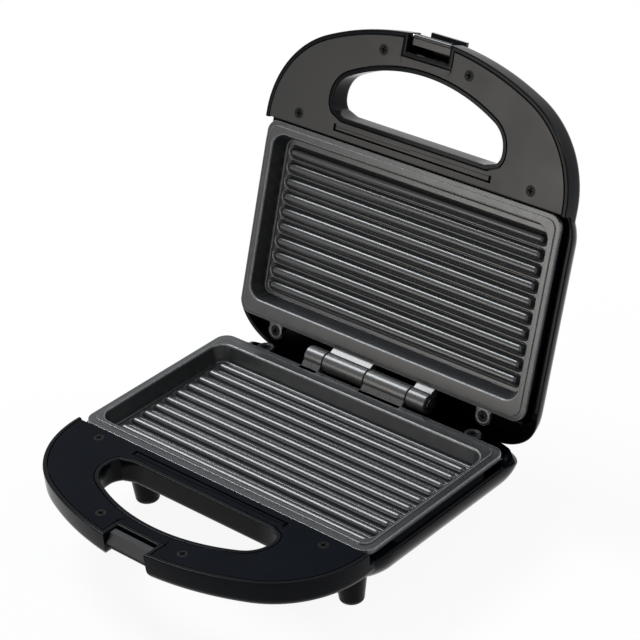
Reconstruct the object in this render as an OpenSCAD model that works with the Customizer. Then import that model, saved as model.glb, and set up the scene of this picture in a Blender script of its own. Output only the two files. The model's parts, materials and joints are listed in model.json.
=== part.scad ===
// Two-slice sandwich toaster, lid open, in millimetres.
// Both halves share one layout, drawn in a half frame: x = 0 is the middle, y = 0 the front edge
// of the plate with +y towards the hinge, z = 0 the plate's rim, and the housing lies at -z.
// The base half stands as drawn. The lid half is turned over and swung open about the hinge.

/* [Plates] */
// Width of a cooking plate
plate_w = 220; // [200:1:240]
// Depth of a cooking plate, front to hinge
plate_d = 124; // [112:1:136]
// Corner radius of the plate's edge
plate_corner_r = 8; // [5:0.5:12]
// Thickness of the plate's rim
plate_edge_t = 3.5; // [3:0.1:4.5]
// Height of the step between the plate's rim and its outer ledge
ledge_step = 1; // [0.5:0.1:1.5]
// Width of the outer ledge on the base plate
base_ledge_w = 4.5; // [3:0.1:5]
// Width of the outer ledge on the lid plate
lid_ledge_w = 2.8; // [2:0.1:4.5]
// Rim left beside the pan
pan_side_margin = 6.5; // [6:0.1:9]
// Rim left in front of the pan
pan_front_margin = 7.5; // [6:0.1:10]
// Rim left behind the pan
pan_rear_margin = 11; // [7:0.1:13]
// Depth of the pan below the rim
pan_depth = 10.8; // [9:0.1:12]
// Slope of the pan's walls, top to floor
pan_draft = 2.5; // [1.5:0.1:3.5]
// Corner radius of the pan
pan_corner_r = 9; // [6:0.5:12]
// Thickness of the casting round the pan
pan_skin = 2.5; // [2:0.1:3]

/* [Ribs] */
// Number of toasting ribs in a pan
rib_count = 10; // [6:1:10]
// Distance from rib to rib
rib_pitch = 9.5; // [8.5:0.1:9.8]
// Radius of a rib's rounded back
rib_r = 3.2; // [2.5:0.1:3.6]
// Height of a rib above the pan floor
rib_h = 2.8; // [2:0.1:3.6]
// Distance from the plate's side edge to a rib's end
rib_end_inset = 13.2; // [12:0.1:18]
// Distance from the plate's rear edge to the last rib
rib_rear_inset = 20.2; // [20:0.1:22]

/* [Hinge] */
// Distance from the plate's rear edge to the hinge axis
hinge_back = 9; // [8.5:0.1:11]
// Height of the hinge axis above the plate's rim, half the gap of the closed plates
hinge_rise = 1.5; // [1.5:0.1:2.2]
// Angle of the open lid
open_angle = 107.9; // [95:0.1:115]
// Radius of a hinge knuckle
knuckle_r = 6.3; // [5.5:0.1:6.5]
// Radius of the hinge pin
hinge_pin_r = 2; // [1.5:0.1:2.4]
// Radial clearance of the hinge pin
hinge_clear = 0.06; // [0.03:0.01:0.1]
// Distance from the middle to the inner face of the outer knuckle
knuckle_in = 32.6; // [28:0.1:38]
// Distance from the middle to the outer face of the outer knuckle
knuckle_out = 46.7; // [44:0.1:56]
// Gap between neighbouring knuckles
knuckle_gap = 0.5; // [0.4:0.05:0.8]

/* [Housing] */
// Width of the housing's rim beside the plate
body_side = 5.5; // [4.5:0.5:8]
// Distance from the plate's front edge to the front of the domed body
body_front = 11; // [9:0.5:12]
// Distance from the plate's rear edge to the back of the body
body_rear = 24; // [21:0.5:26]
// Depth of the body's rim below the plate's rim
rim_drop = 7.2; // [6.6:0.1:7.6]
// Depth of the body's dome below its rim
dome_h = 36.5; // [33:0.1:38]
// How far the dome draws in at each side
dome_in_x = 78; // [74:1:88]
// How far the dome draws in at the front
dome_in_front = 56; // [50:1:58]
// How far the dome draws in at the rear
dome_in_rear = 40; // [36:1:46]
// Radius of the body's front corners
body_front_r = 27; // [20:1:28]
// Radius of the body's rear corners
body_rear_r = 28.5; // [24:0.5:32]
// Wall thickness of the housings
wall = 2.5; // [2:0.1:3]
// Distance from the plate's rear edge back to where the rim starts to fall, negative is in front
rim_fall_start = -4; // [-8:0.5:0]
// Gap left between the two rear rims when the lid is fully open
stop_gap = 0.3; // [0.2:0.05:0.5]

/* [Handles] */
// Reach of a handle's side beyond the plate's side edge
handle_side = 2.5; // [1.5:0.1:3]
// Reach of a handle in front of the plate
handle_reach = 76; // [73:0.5:80]
// Radius of the handle's front sweep
handle_front_r = 184; // [176:1:215]
// Radius of the handle's corners
handle_corner_r = 62.5; // [58:0.5:66]
// Height of a handle
handle_t = 17; // [15:0.1:18]
// Rounding of a handle's lower edge
handle_edge_r = 6.5; // [5.5:0.1:8]
// Thickness of the handle's floor
handle_floor = 2.5; // [2:0.1:3]
// Width of the handle's rim round its cover
handle_rim = 2.6; // [2.2:0.1:3]
// Width of the handle beside the hand hole
handle_bar_w = 49.5; // [47:0.5:53]
// Depth of the handle in front of the hand hole
handle_bar_d = 23; // [22:0.5:25]
// Length of the straight part of the hand hole's sides
hole_side = 1; // [0.5:0.1:2]
// Radius of the hand hole's front corners
hole_corner_r = 17; // [14:0.5:20]
// Rear of the hand hole, measured from the plate
hole_rear = 14.8; // [14.2:0.1:16]
// Radius of the hand hole's rear corners
hole_rear_r = 9; // [7:0.5:9]

/* [Handle covers] */
// Thickness of a handle cover
cover_t = 2.5; // [2.2:0.1:3]
// Gap round a handle cover
cover_gap = 0.5; // [0.3:0.05:0.8]
// Distance from a cover's rear edge to the plate
cover_rear = 1.5; // [1:0.1:1.8]
// Distance from the plate to the slot along the cover
cover_slot_y = 6; // [5.5:0.1:7]
// Half of the length of the slot along the cover
cover_slot_hw = 58.5; // [50:0.5:62]
// Width of the slot along the cover
cover_slot_w = 1.2; // [0.8:0.1:1.6]
// Distance from the plate's side edge to the rear cover screws
rear_screw_in = 23.2; // [20:0.1:26]
// Distance from the plate to the rear cover screws
rear_screw_y = 8.9; // [8:0.1:9.5]
// Distance from the middle to the front cover screws
front_screw_x = 31.5; // [28:0.5:36]
// Distance from the handle's front to the front cover screws
front_screw_in = 14.6; // [14:0.1:15.2]

/* [Screws] */
// Radius of a screw's shank
screw_r = 1.5; // [1.2:0.05:1.6]
// Radius of a cover screw's head
screw_head_r = 3.2; // [2.9:0.1:3.5]
// Radial clearance of a screw
screw_clear = 0.06; // [0.03:0.01:0.1]
// Length of a cover screw
screw_len = 9; // [7:0.5:10]
// Distance from the plate's side edge to the plate lugs
lug_in = 29; // [26:0.5:34]
// Distance from the plate's rear edge to the lug screws
lug_back = 5.5; // [5:0.1:6]
// Radius of a plate lug
lug_r = 5.4; // [5:0.1:5.8]
// Depth of the lugs below the plate's rim
lug_drop = 3.6; // [3.5:0.1:4]
// Thickness of a plate lug
lug_t = 3; // [2.6:0.1:3.2]

/* [Latch] */
// Half of the width of the latch notch
notch_hw = 15.5; // [14.5:0.1:17]
// Depth of the latch notch from the handle's front
notch_d = 12; // [11.5:0.1:12.4]
// Width of the latch clip
clip_w = 27; // [24:0.5:27]
// Distance from the handle's front to the clip's pin
clip_pin_in = 2.3; // [2.1:0.1:2.5]
// Depth of the clip's pin below the plate's rim
clip_pin_z = 4; // [3.8:0.1:4.4]
// Radius of the clip's pin
clip_pin_r = 0.9; // [0.7:0.05:0.95]
// Radial clearance of the clip's pin
clip_clear = 0.05; // [0.03:0.01:0.08]
// Radius of the clip's barrel
clip_barrel_r = 1.7; // [1.6:0.05:1.8]
// Thickness of the clip's arm
clip_t = 2.5; // [2:0.1:2.6]
// Distance from the clip's pin to the middle of its arm
clip_offset = 3.8; // [3.6:0.1:4]
// Width of the clip's finger tab
tab_w = 30.4; // [28:0.2:30.6]
// Length of the clip's finger tab behind the handle
tab_len = 8.2; // [7:0.1:10]
// Flare of the clip's finger tab
tab_out = 3.9; // [2:0.1:5]
// Thickness of the clip's nose
nose_t = 2.2; // [1.8:0.1:2.4]
// Grip of the nose under the catch
nose_grip = 1.7; // [1:0.1:2]
// Depth of the catch's lower edge below the plate's rim
catch_drop = 7; // [6.6:0.1:7.4]
// Depth of the catch's top below the plate's rim
catch_top_drop = 1; // [0.6:0.1:1.6]
// Distance from the handle's front to the front of the catch
catch_in = 2.2; // [1.9:0.1:2.5]

/* [Feet] */
// Depth of the feet's soles below the plate's rim
foot_drop = 56; // [54:0.5:60]
// Distance from the plate's side edge to the front feet
front_foot_in = 29.5; // [26:0.5:34]
// Distance from the plate's front edge back to the front feet
front_foot_y = 19; // [16:0.5:24]
// Distance from the plate's side edge to the rear feet
rear_foot_side = 58; // [54:0.5:64]
// Distance from the plate's rear edge forward to the rear feet
rear_foot_in = 2; // [0:0.5:6]
// Radius of a foot's sole
foot_r = 7.25; // [6.5:0.05:8]
// Widening of a foot for each millimetre of height
foot_taper = 0.125; // [0.08:0.005:0.15]
// Thickness of a foot's rubber sole
sole_t = 2.2; // [1.8:0.1:2.6]

/* [Heating] */
// Radius of the tubular heating element
element_r = 3.2; // [2.8:0.1:3.4]
// Radius of the element's bends
element_bend_r = 14; // [12:0.5:18]
// Distance from the plate's side edge to the element
element_in_x = 34; // [30:1:44]
// Distance from the plate's front edge to the element
element_in_y = 28; // [24:1:32]
// Distance from the plate's rear edge to the element's rear run
element_rear_in = 32; // [29:1:36]
// Distance from the middle to the element's ends
element_end_x = 14; // [11:0.5:18]
// Depth of the heat reflector below the plate's rim
reflector_drop = 20; // [19.5:0.1:21]
// Thickness of the reflector's sheet
reflector_t = 0.8; // [0.6:0.1:1]
// Length of a reflector screw
reflector_screw_len = 6.5; // [5:0.5:6.5]

/* [Lamps] */
// Radius of a lamp's lens
lens_r = 3; // [2.5:0.1:3.5]
// Distance from the middle to a lamp
lamp_x = 9; // [7:0.5:12]
// Distance from the plate's front edge to the lamps
lamp_y = 58; // [56:0.5:62]
// Length of a lamp
lamp_len = 14; // [12:0.5:16]
// Half of the depth of the lamp holder
holder_hd = 5; // [4:0.5:6]
// Reach of the lamp holder beyond a lamp
holder_side = 7; // [6:0.5:9]

/* [Cord entry] */
// Distance from the plate's side edge to the cord gland
gland_in = 48; // [42:1:54]
// Depth of the cord gland below the plate's rim
gland_drop = 28; // [27.5:0.5:29]
// Radius of the gland's bore
gland_bore_r = 3.4; // [3:0.1:3.8]

/* [Hidden] */
$fn = 48;
far = 60;

hinge_y = plate_d + hinge_back;
body_w = plate_w + 2 * body_side;
handle_hw = plate_w / 2 + handle_side;
hole_hw = handle_hw - handle_bar_w;
hole_reach = handle_reach - handle_bar_d;
hole_cx = hole_hw - hole_corner_r;
hole_rise = hole_reach - hole_rear - hole_rear_r - hole_side;
hole_front_r = (pow(hole_cx, 2) + pow(hole_rise, 2) - pow(hole_corner_r, 2))
    / (2 * (hole_rise - hole_corner_r));
rear_screw_x = plate_w / 2 - rear_screw_in;
front_screw_y = handle_reach - front_screw_in;
lug_x = plate_w / 2 - lug_in;
notch_rear = handle_reach - notch_d;
clip_pin_y = handle_reach - clip_pin_in;
catch_reach = handle_reach - catch_in;
front_foot_x = plate_w / 2 - front_foot_in;
rear_foot_x = plate_w / 2 - rear_foot_side;
body_y0 = -body_front;
body_y1 = plate_d + body_rear;
stop_angle = open_angle / 2;
rim_edge = 1;
floor_z = -pan_depth - pan_skin;
element_z = floor_z - 2.2;
cover_z = -cover_t;
dome_z = -rim_drop - dome_h;
dome_in_z = dome_z + wall;
clip_y = clip_offset - clip_pin_y;
arm_end_z = -handle_t - 1;
tab_end_y = clip_y + tab_out;
tab_end_z = arm_end_z - tab_len;
lug_y = plate_d + lug_back;
rear_foot_y = plate_d - rear_foot_in;
boss_r = 4.2;
lug_boss_r = 5;
tongue_x = 60;
tongue_hw = 6;
tongue_z = -3.2;
tongue_t = 3;
gland_x = plate_w / 2 - gland_in;
gland_y = body_y1 - 2;
gland_seat_r = gland_bore_r + 2.6;
gland_boss_r = gland_seat_r + 2.5;
guard_y = plate_d + 1.5;
clamp_y = plate_d - 10;
clamp_half = 9;
centre_y = plate_d / 2;
small_screw_x = 10;
end_bend_r = 6;
small_screw_r = 1;
peg_x = 9.5;
peg_r = 1.5;
reflector_screw_x = plate_w / 2 - 22;
reflector_screw_y = [20, plate_d - 22];
body_mid_y = (body_y0 + body_y1) / 2;

// Rearmost reach of the open lid, at the round end of the latch clip
lid_reach_y = hinge_y + (tab_end_y - hinge_y) * cos(open_angle)
    + (hinge_rise - tab_end_z) * sin(open_angle) + clip_t / 2;
mid_y = (lid_reach_y - handle_reach) / 2;

// ---- placing ----

module in_base() {
    translate([0, -mid_y, foot_drop]) children();
}

module in_lid() {
    in_base()
    translate([0, hinge_y, hinge_rise])
    rotate([-open_angle, 0, 0])
    translate([0, -hinge_y, hinge_rise])
    rotate([0, 180, 0])
    children();
}

module both_sides() {
    children();
    mirror([1, 0, 0]) children();
}

// ---- outlines ----

function arc(cx, cy, r, a0, a1, n, first = 0) =
    [for (i = [first:n]) let (a = a0 + (a1 - a0) * i / n) [cx + r * cos(a), cy + r * sin(a)]];

// Rectangle with front corners of radius rf and rear corners of radius rr
function rounded(x0, y0, x1, y1, rf, rr, n = 6) = concat(
    arc(x1 - rf, y0 + rf, rf, -90, 0, n),
    arc(x1 - rr, y1 - rr, rr, 0, 90, n),
    arc(x0 + rr, y1 - rr, rr, 90, 180, n),
    arc(x0 + rf, y0 + rf, rf, 180, 270, n));

// Front sweep of radius big between two corners of radius small, drawn in by inset
function sweep_front(hw, reach, big, small, inset, n) =
    let (cx = hw - small,
         big_y = big - reach,
         cy = big_y - sqrt(pow(big - small, 2) - cx * cx),
         a = atan2(cy - big_y, cx))
    concat(
        arc(-cx, cy, small - inset, 180, 180 - a, n),
        arc(0, big_y, big - inset, 180 - a, 360 + a, 3 * n, 1),
        arc(cx, cy, small - inset, 360 + a, 360, n, 1));

// Outline of a handle, closed by a straight rear edge at y = rear
function handle_line(inset, rear) = concat(
    [[handle_hw - inset, rear], [inset - handle_hw, rear]],
    sweep_front(handle_hw, handle_reach, handle_front_r, handle_corner_r, inset, 10));

// Outline of the hand hole, drawn in by inset or let out where inset is negative
function hole_line(inset) = concat(
    arc(hole_hw - hole_rear_r, -hole_rear - hole_rear_r, hole_rear_r - inset, 0, 90, 5),
    arc(hole_rear_r - hole_hw, -hole_rear - hole_rear_r, hole_rear_r - inset, 90, 180, 5),
    sweep_front(hole_hw, hole_reach, hole_front_r, hole_corner_r, inset, 7));

// Outline of the domed body at the given angle of its side curve, inside a wall of thickness t
function body_line(a, t) =
    let (in_x = t + dome_in_x * (1 - cos(a)),
         in_front = t + dome_in_front * (1 - cos(a)),
         in_rear = t + dome_in_rear * (1 - cos(a)),
         shrink = 0.55 + 0.45 * cos(a))
    rounded(in_x - body_w / 2, body_y0 + in_front, body_w / 2 - in_x, body_y1 - in_rear,
        (body_front_r - t) * shrink, (body_rear_r - t) * shrink, 8);

function at_z(line, z) = [for (p = line) [p[0], p[1], z]];

// Solid through a stack of outlines, lowest first, each with as many points as the next
module loft(rings) {
    n = len(rings[0]);
    top = len(rings) - 1;
    sides = [for (k = [0:top - 1]) for (i = [0:n - 1])
        let (j = (i + 1) % n) each [
            [k * n + i, (k + 1) * n + i, (k + 1) * n + j],
            [k * n + i, (k + 1) * n + j, k * n + j]]];
    polyhedron(
        points = [for (ring = rings) each ring],
        faces = concat([[for (i = [0:n - 1]) i]], sides, [[for (i = [n - 1:-1:0]) top * n + i]]));
}

module slab(line, z0, z1) {
    translate([0, 0, z0]) linear_extrude(z1 - z0) polygon(line);
}

module block(x0, y0, z0, x1, y1, z1) {
    translate([x0, y0, z0]) cube([x1 - x0, y1 - y0, z1 - z0]);
}

module post(x, y, z0, z1, r) {
    translate([x, y, z0]) cylinder(h = z1 - z0, r = r);
}

// Rod along x between two stations
module rod_x(x0, x1, y, z, r) {
    translate([x0, y, z]) rotate([0, 90, 0]) cylinder(h = x1 - x0, r = r);
}

// ---- housing ----

// Stack of outlines that follows the dome's curve, inside a wall of thickness t
function dome_rings(t, top_drop, step = 9) =
    [for (a = [90:-step:0]) at_z(body_line(a, t), -rim_drop - top_drop
        - (dome_h - top_drop - t) * sin(a))];

module dome_inside() {
    loft(concat(dome_rings(wall, 0), [at_z(body_line(0, wall), far)]));
}

module dome_outer() {
    loft(concat(
        dome_rings(0, rim_edge),
        [at_z(body_line(0, 0.3 * rim_edge), -rim_drop - 0.3 * rim_edge),
         at_z(body_line(0, rim_edge), -rim_drop)]));
}

module handle_outer() {
    rear = body_front_r - 2;
    edge_z = handle_edge_r - handle_t;
    loft(concat(
        [for (a = [90:-15:0]) at_z(handle_line(
            0.5 + handle_edge_r * (1 - cos(a)), rear), edge_z - handle_edge_r * sin(a))],
        [at_z(handle_line(0, rear), -0.8),
         at_z(handle_line(0.25, rear), -0.25),
         at_z(handle_line(0.8, rear), 0)]));
}

// Space inside the handle, open at the top, round the hand hole and the latch notch
module handle_pocket() {
    rear = 6;
    low = handle_floor - handle_t;
    difference() {
        loft([
            at_z(handle_line(handle_rim + handle_edge_r - 1, rear), low),
            at_z(handle_line(handle_rim + 1.2, rear), low + handle_edge_r - handle_floor),
            at_z(handle_line(handle_rim, rear), low + handle_edge_r),
            at_z(handle_line(handle_rim, rear), far)]);
        slab(hole_line(-handle_rim), -far, far + 1);
        block(-notch_hw - handle_rim, -handle_reach - 5, -far,
            notch_hw + handle_rim, handle_rim - notch_rear, far + 1);
    }
}

module hand_hole() {
    flare = 3;
    loft([
        at_z(hole_line(-flare), -handle_t - 1),
        at_z(hole_line(-flare), -handle_t),
        at_z(hole_line(-flare * 0.5), -handle_t + 1.2),
        at_z(hole_line(-flare * 0.13), -handle_t + 2.8),
        at_z(hole_line(0), -handle_t + 5),
        at_z(hole_line(0), -0.6),
        at_z(hole_line(-0.6), 0),
        at_z(hole_line(-0.6), 1)]);
}

module notch_space() {
    skin_rear = notch_rear + 3.5;
    front = handle_reach + 5;
    block(-notch_hw, -front, handle_floor - handle_t, notch_hw, -notch_rear, 1);
    block(-notch_hw, -front, -far, notch_hw, -skin_rear, 1);
}

module cover_screw_places() {
    both_sides() {
        translate([rear_screw_x, -rear_screw_y, 0]) children();
        translate([front_screw_x, -front_screw_y, 0]) children();
    }
}

module lug_places() {
    both_sides() translate([lug_x, lug_y, -lug_drop]) children();
}

// Rear face of the dome at height z
function rear_wall_y(z) = body_y1
    - dome_in_rear * (1 - cos(asin((-rim_drop - rim_edge - z) / (dome_h - rim_edge))));

// Height at which the rear faces of the two halves meet when the lid is fully open, found by
// repeated steps from height z
function meeting_z(z, steps) = steps == 0 ? z : meeting_z(
    hinge_rise - (rear_wall_y(z) - hinge_y) * tan(stop_angle) - stop_gap, steps - 1);

// Removes what would stand above the rim, which falls towards the rear
module rim_cut() {
    start = plate_d + rim_fall_start;
    stop_z = meeting_z(-rim_drop - 5, 20);
    fall = atan2(-rim_drop - stop_z, rear_wall_y(stop_z) - start);
    translate([-body_w, start, -rim_drop]) rotate([-fall, 0, 0]) cube([2 * body_w, far, far]);
}

// Bosses, ledges and walls inside a housing
module housing_inside() {
    shelf_z = -20;
    both_sides() {
        // Bosses under the plate's lugs
        post(lug_x, lug_y, dome_z, -rim_drop - 1, lug_boss_r);
        // Bosses under the rear cover screws
        post(rear_screw_x, -rear_screw_y, -handle_t - 6, -handle_t + 1, boss_r);
    }
    // Guard wall and shelf that close the body behind the plate
    block(-body_w, guard_y, dome_z, body_w, guard_y + 2, -rim_drop - 1);
    block(-body_w, guard_y, shelf_z - 2, body_w, body_y1, shelf_z);
}

// Housing of either half. Children are joined to its outside.
module housing_shell() {
    ledge_z = tongue_z - tongue_t;
    difference() {
        union() {
            difference() {
                union() {
                    dome_outer();
                    difference() {
                        handle_outer();
                        block(-body_w, -0.6, -rim_drop, body_w, far, 1);
                    }
                    children();
                }
                dome_inside();
                handle_pocket();
            }
            intersection() {
                dome_outer();
                housing_inside();
            }
            both_sides() {
                post(lug_x, lug_y, -rim_drop - 6, -lug_drop - lug_t, lug_boss_r);
                post(rear_screw_x, -rear_screw_y, -handle_t + 0.5, cover_z, boss_r);
                post(front_screw_x, -front_screw_y, -handle_t + 1, cover_z, boss_r);
                // Ledges under the plate's front tongues
                block(tongue_x - tongue_hw - 1, handle_rim - hole_rear, -handle_t + 1,
                    tongue_x + tongue_hw + 1, -4, ledge_z);
            }
        }
        hand_hole();
        notch_space();
        rim_cut();
        cover_screw_places() post(0, 0, -screw_len - 1, 1, screw_r + screw_clear);
        lug_places() post(0, 0, -screw_len - 1, 1, screw_r + screw_clear);
    }
}

// ---- feet ----

function foot_radius(z) = foot_r + foot_taper * (z + foot_drop);

module foot_post() {
    top = dome_z + 14;
    low = sole_t - foot_drop;
    translate([0, 0, low]) cylinder(h = top - low, r1 = foot_radius(low), r2 = foot_radius(top));
}

module foot_places() {
    both_sides() {
        translate([front_foot_x, front_foot_y, 0]) children();
        translate([rear_foot_x, rear_foot_y, 0]) children();
    }
}

sole_stem_r = 2;
sole_stem_h = 4;

module sole(x, y) {
    edge = 1.2;
    color("#101113") in_base() translate([x, y, -foot_drop]) rotate_extrude() polygon(concat(
        [[0, 0]],
        arc(foot_r - edge, edge, edge, -90, 0, 5),
        [[foot_radius(sole_t - foot_drop), sole_t], [sole_stem_r, sole_t],
         [sole_stem_r, sole_t + sole_stem_h], [0, sole_t + sole_stem_h]]));
}

// ---- the two housings ----

// Rib and two posts under the cord clamp
module clamp_seat() {
    block(gland_x - 5, clamp_y - 1.5, dome_z, gland_x + 5, clamp_y + 1.5, -gland_drop - 3);
    for (x = [-clamp_half, clamp_half])
        post(gland_x + x, clamp_y, dome_z, -gland_drop, 3.4);
}

module base_housing() {
    color("#17181b") in_base() difference() {
        union() {
            housing_shell() {
                foot_places() foot_post();
                // Boss that carries the cord gland
                translate([gland_x, guard_y, -gland_drop]) rotate([-90, 0, 0])
                    cylinder(h = gland_y - guard_y, r = gland_boss_r);
            }
            intersection() {
                dome_outer();
                clamp_seat();
            }
            // Pegs that hold the terminal block
            both_sides() post(peg_x, body_mid_y, dome_in_z - 1, dome_in_z + 6, peg_r);
            // Ledges that hold the latch catch
            both_sides() block(notch_hw - 1.5, -catch_reach + 2.3, -catch_drop - 2,
                notch_hw + 1, -notch_rear - 1.5, -catch_drop);
        }
        translate([gland_x, guard_y - 1, -gland_drop]) rotate([-90, 0, 0])
            cylinder(h = far, r = gland_seat_r);
        foot_places() post(0, 0, -far, sole_t - foot_drop + sole_stem_h + 0.1, sole_stem_r + 0.05);
        for (x = [-clamp_half, clamp_half])
            post(gland_x + x, clamp_y, -gland_drop - 6, 1 - gland_drop, screw_r + screw_clear);
    }
}

module lid_housing() {
    color("#17181b") in_lid() difference() {
        housing_shell();
        both_sides() post(lamp_x, lamp_y, dome_z - 1, dome_in_z + 1, lens_r + 0.05);
        rod_x(-notch_hw - 2.2, notch_hw + 2.2, -clip_pin_y, -clip_pin_z, clip_pin_r + clip_clear);
    }
}

// ---- handle covers ----

head_flat = 0.4;

// Seat of a countersunk screw whose head lies flush with z = 0
module countersink() {
    r = screw_head_r + 0.1;
    post(0, 0, -far, 0.1, screw_r + 0.1);
    translate([0, 0, -head_flat]) cylinder(h = 1, r = r);
    translate([0, 0, -head_flat - (screw_head_r - screw_r)])
        cylinder(h = screw_head_r - screw_r, r1 = screw_r + 0.1, r2 = r);
}

module handle_cover() {
    edge = handle_rim + cover_gap;
    color("#53565b") difference() {
        slab(handle_line(edge, -cover_rear), cover_z, 0);
        slab(hole_line(-edge), -far, far);
        block(-notch_hw - edge, -handle_reach - 5, -far, notch_hw + edge, edge - notch_rear, far);
        block(-cover_slot_hw, -cover_slot_y - cover_slot_w / 2, -1,
            cover_slot_hw, -cover_slot_y + cover_slot_w / 2, 1);
        cover_screw_places() countersink();
    }
}

module base_handle_cover() {
    in_base() handle_cover();
}

module lid_handle_cover() {
    in_lid() handle_cover();
}

// ---- plates ----

function plate_line(inset) = rounded(inset - plate_w / 2, inset, plate_w / 2 - inset,
    plate_d - inset, plate_corner_r - inset * 0.6, plate_corner_r - inset * 0.6);

// Outline of the pan, drawn in by inset or let out where inset is negative
function pan_line(inset) =
    let (x = plate_w / 2 - pan_side_margin - inset,
         r = pan_corner_r - inset)
    rounded(-x, pan_front_margin + inset, x, plate_d - pan_rear_margin - inset, r, r, 7);

module pan() {
    loft([
        at_z(pan_line(pan_draft + 1), -pan_depth),
        at_z(pan_line(pan_draft + 0.3), 0.4 - pan_depth),
        at_z(pan_line(pan_draft), 1 - pan_depth),
        at_z(pan_line(0), -1.6),
        at_z(pan_line(-0.2), -0.7),
        at_z(pan_line(-0.8), 0),
        at_z(pan_line(-0.8), 1)]);
}

module ribs() {
    x = plate_w / 2 - rib_end_inset - rib_r;
    z = rib_h - rib_r - pan_depth;
    intersection() {
        block(-plate_w / 2, 0, -pan_depth - 0.5, plate_w / 2, plate_d, 0);
        for (i = [0:rib_count - 1]) {
            y = plate_d - rib_rear_inset - i * rib_pitch;
            rod_x(-x, x, y, z, rib_r);
            both_sides() translate([x, y, z]) sphere(rib_r);
        }
    }
}

element_x = plate_w / 2 - element_in_x;
element_y1 = plate_d - element_rear_in;

// Band of half width w that follows the element
module element_band(w, z0, z1) {
    r = element_bend_r;
    difference() {
        slab(rounded(-element_x - w, element_in_y - w, element_x + w, element_y1 + w,
            r + w, r + w, 9), z0, z1);
        slab(rounded(w - element_x, element_in_y + w, element_x - w, element_y1 - w,
            r - w, r - w, 9), z0 - 1, z1 + 1);
    }
}

// Knuckles of one plate, with the webs that join them to its rear edge
module knuckles() {
    web = [[plate_d - 3, -plate_edge_t - ledge_step], [hinge_y, hinge_rise - knuckle_r],
        [hinge_y, hinge_rise], [hinge_y - knuckle_r, hinge_rise],
        [plate_d + 0.4, -ledge_step], [plate_d - 3, -ledge_step]];
    half_gap = knuckle_gap / 2;
    for (span = [[-knuckle_out, -knuckle_in - half_gap], [half_gap, knuckle_in - half_gap]]) {
        rod_x(span[0], span[1], hinge_y, hinge_rise, knuckle_r);
        extrude_x(span[0], span[1]) polygon(web);
    }
}

module extrude_x(x0, x1) {
    translate([x0, 0, 0]) rotate([90, 0, 90]) linear_extrude(x1 - x0) children();
}

module heat_plate(ledge_w) {
    groove = element_r + 0.25;
    under = -ledge_step - plate_edge_t;
    color("#4b4e51") {
        difference() {
            union() {
                slab(plate_line(0), under, -ledge_step);
                slab(plate_line(ledge_w), -ledge_step - 1, 0);
                slab(pan_line(-pan_skin), floor_z, -ledge_step - 1);
                element_band(groove + 2.5, element_z, floor_z + 1);
                both_sides() {
                    slab(rounded(lug_x - lug_r, plate_d - 4, lug_x + lug_r, lug_y + lug_r,
                        1, lug_r - 0.01), -lug_drop - lug_t, -lug_drop);
                    block(tongue_x - tongue_hw, -5, tongue_z - tongue_t,
                        tongue_x + tongue_hw, 3, tongue_z);
                    for (y = reflector_screw_y)
                        post(reflector_screw_x, y, -reflector_drop, floor_z + 1, 4);
                }
                knuckles();
            }
            pan();
            element_band(groove, element_z - 1, element_z + element_r + 0.1);
            both_sides() {
                block(element_end_x - groove, element_y1 - 1, element_z - 10,
                    element_end_x + groove, plate_d, element_z + element_r + 0.1);
                block(element_end_x, element_y1 - 1, element_z - 10,
                    element_end_x + end_bend_r, element_y1 + end_bend_r,
                    element_z + element_r + 0.1);
            }
            lug_places() countersink();
            rod_x(-plate_w / 2, plate_w / 2, hinge_y, hinge_rise, hinge_pin_r + hinge_clear);
            both_sides() {
                for (y = reflector_screw_y)
                    post(reflector_screw_x, y, -reflector_drop - 1, floor_z,
                        screw_r + screw_clear);
                post(small_screw_x, centre_y, floor_z - 1, floor_z + 1.6,
                    small_screw_r + screw_clear);
            }
        }
        ribs();
    }
}

module base_heat_plate() {
    in_base() heat_plate(base_ledge_w);
}

module lid_heat_plate() {
    in_lid() heat_plate(lid_ledge_w);
}

// ---- heating ----

module bend(x, y, r, turn) {
    translate([x, y, element_z]) rotate([0, 0, turn])
        rotate_extrude(angle = 90) translate([r, 0]) circle(element_r);
}

module rod_y(x, y0, y1, z, r) {
    translate([x, y0, z]) rotate([-90, 0, 0]) cylinder(h = y1 - y0, r = r);
}

module heating_element() {
    b = element_bend_r;
    small = end_bend_r;
    x0 = element_x;
    y0 = element_in_y;
    y1 = element_y1;
    end = plate_d - 7;
    color("#8d8f92") {
        rod_x(b - x0, x0 - b, y0, element_z, element_r);
        both_sides() {
            bend(x0 - b, y0 + b, b, -90);
            rod_y(x0, y0 + b, y1 - b, element_z, element_r);
            bend(x0 - b, y1 - b, b, 0);
            rod_x(element_end_x + small, x0 - b, y1, element_z, element_r);
            bend(element_end_x + small, y1 + small, small, 180);
            rod_y(element_end_x, y1 + small, end, element_z, element_r);
            rod_y(element_end_x, end, end + 4, element_z, 1.2);
        }
    }
}

module base_heating_element() {
    in_base() heating_element();
}

module lid_heating_element() {
    in_lid() heating_element();
}

module reflector() {
    margin = 14;
    x = plate_w / 2 - margin;
    low = -reflector_drop - reflector_t;
    rim = 3.5;
    t = reflector_t;
    color("#b9bcc0") difference() {
        slab(rounded(-x, margin - 3, x, plate_d - margin, 8, 8), low, rim - reflector_drop);
        slab(rounded(t - x, margin - 3 + t, x - t, plate_d - margin - t, 8 - t, 8 - t),
            -reflector_drop, far);
        post(0, centre_y, -far, far, 12.5);
        both_sides() {
            block(element_end_x - 6, plate_d - 22, -reflector_drop + 0.5,
                element_end_x + 6, plate_d, far);
            for (y = reflector_screw_y)
                post(reflector_screw_x, y, -far, far, screw_r + 0.1);
        }
    }
}

module base_reflector() {
    in_base() reflector();
}

module lid_reflector() {
    in_lid() reflector();
}

// ---- screws ----

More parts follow.
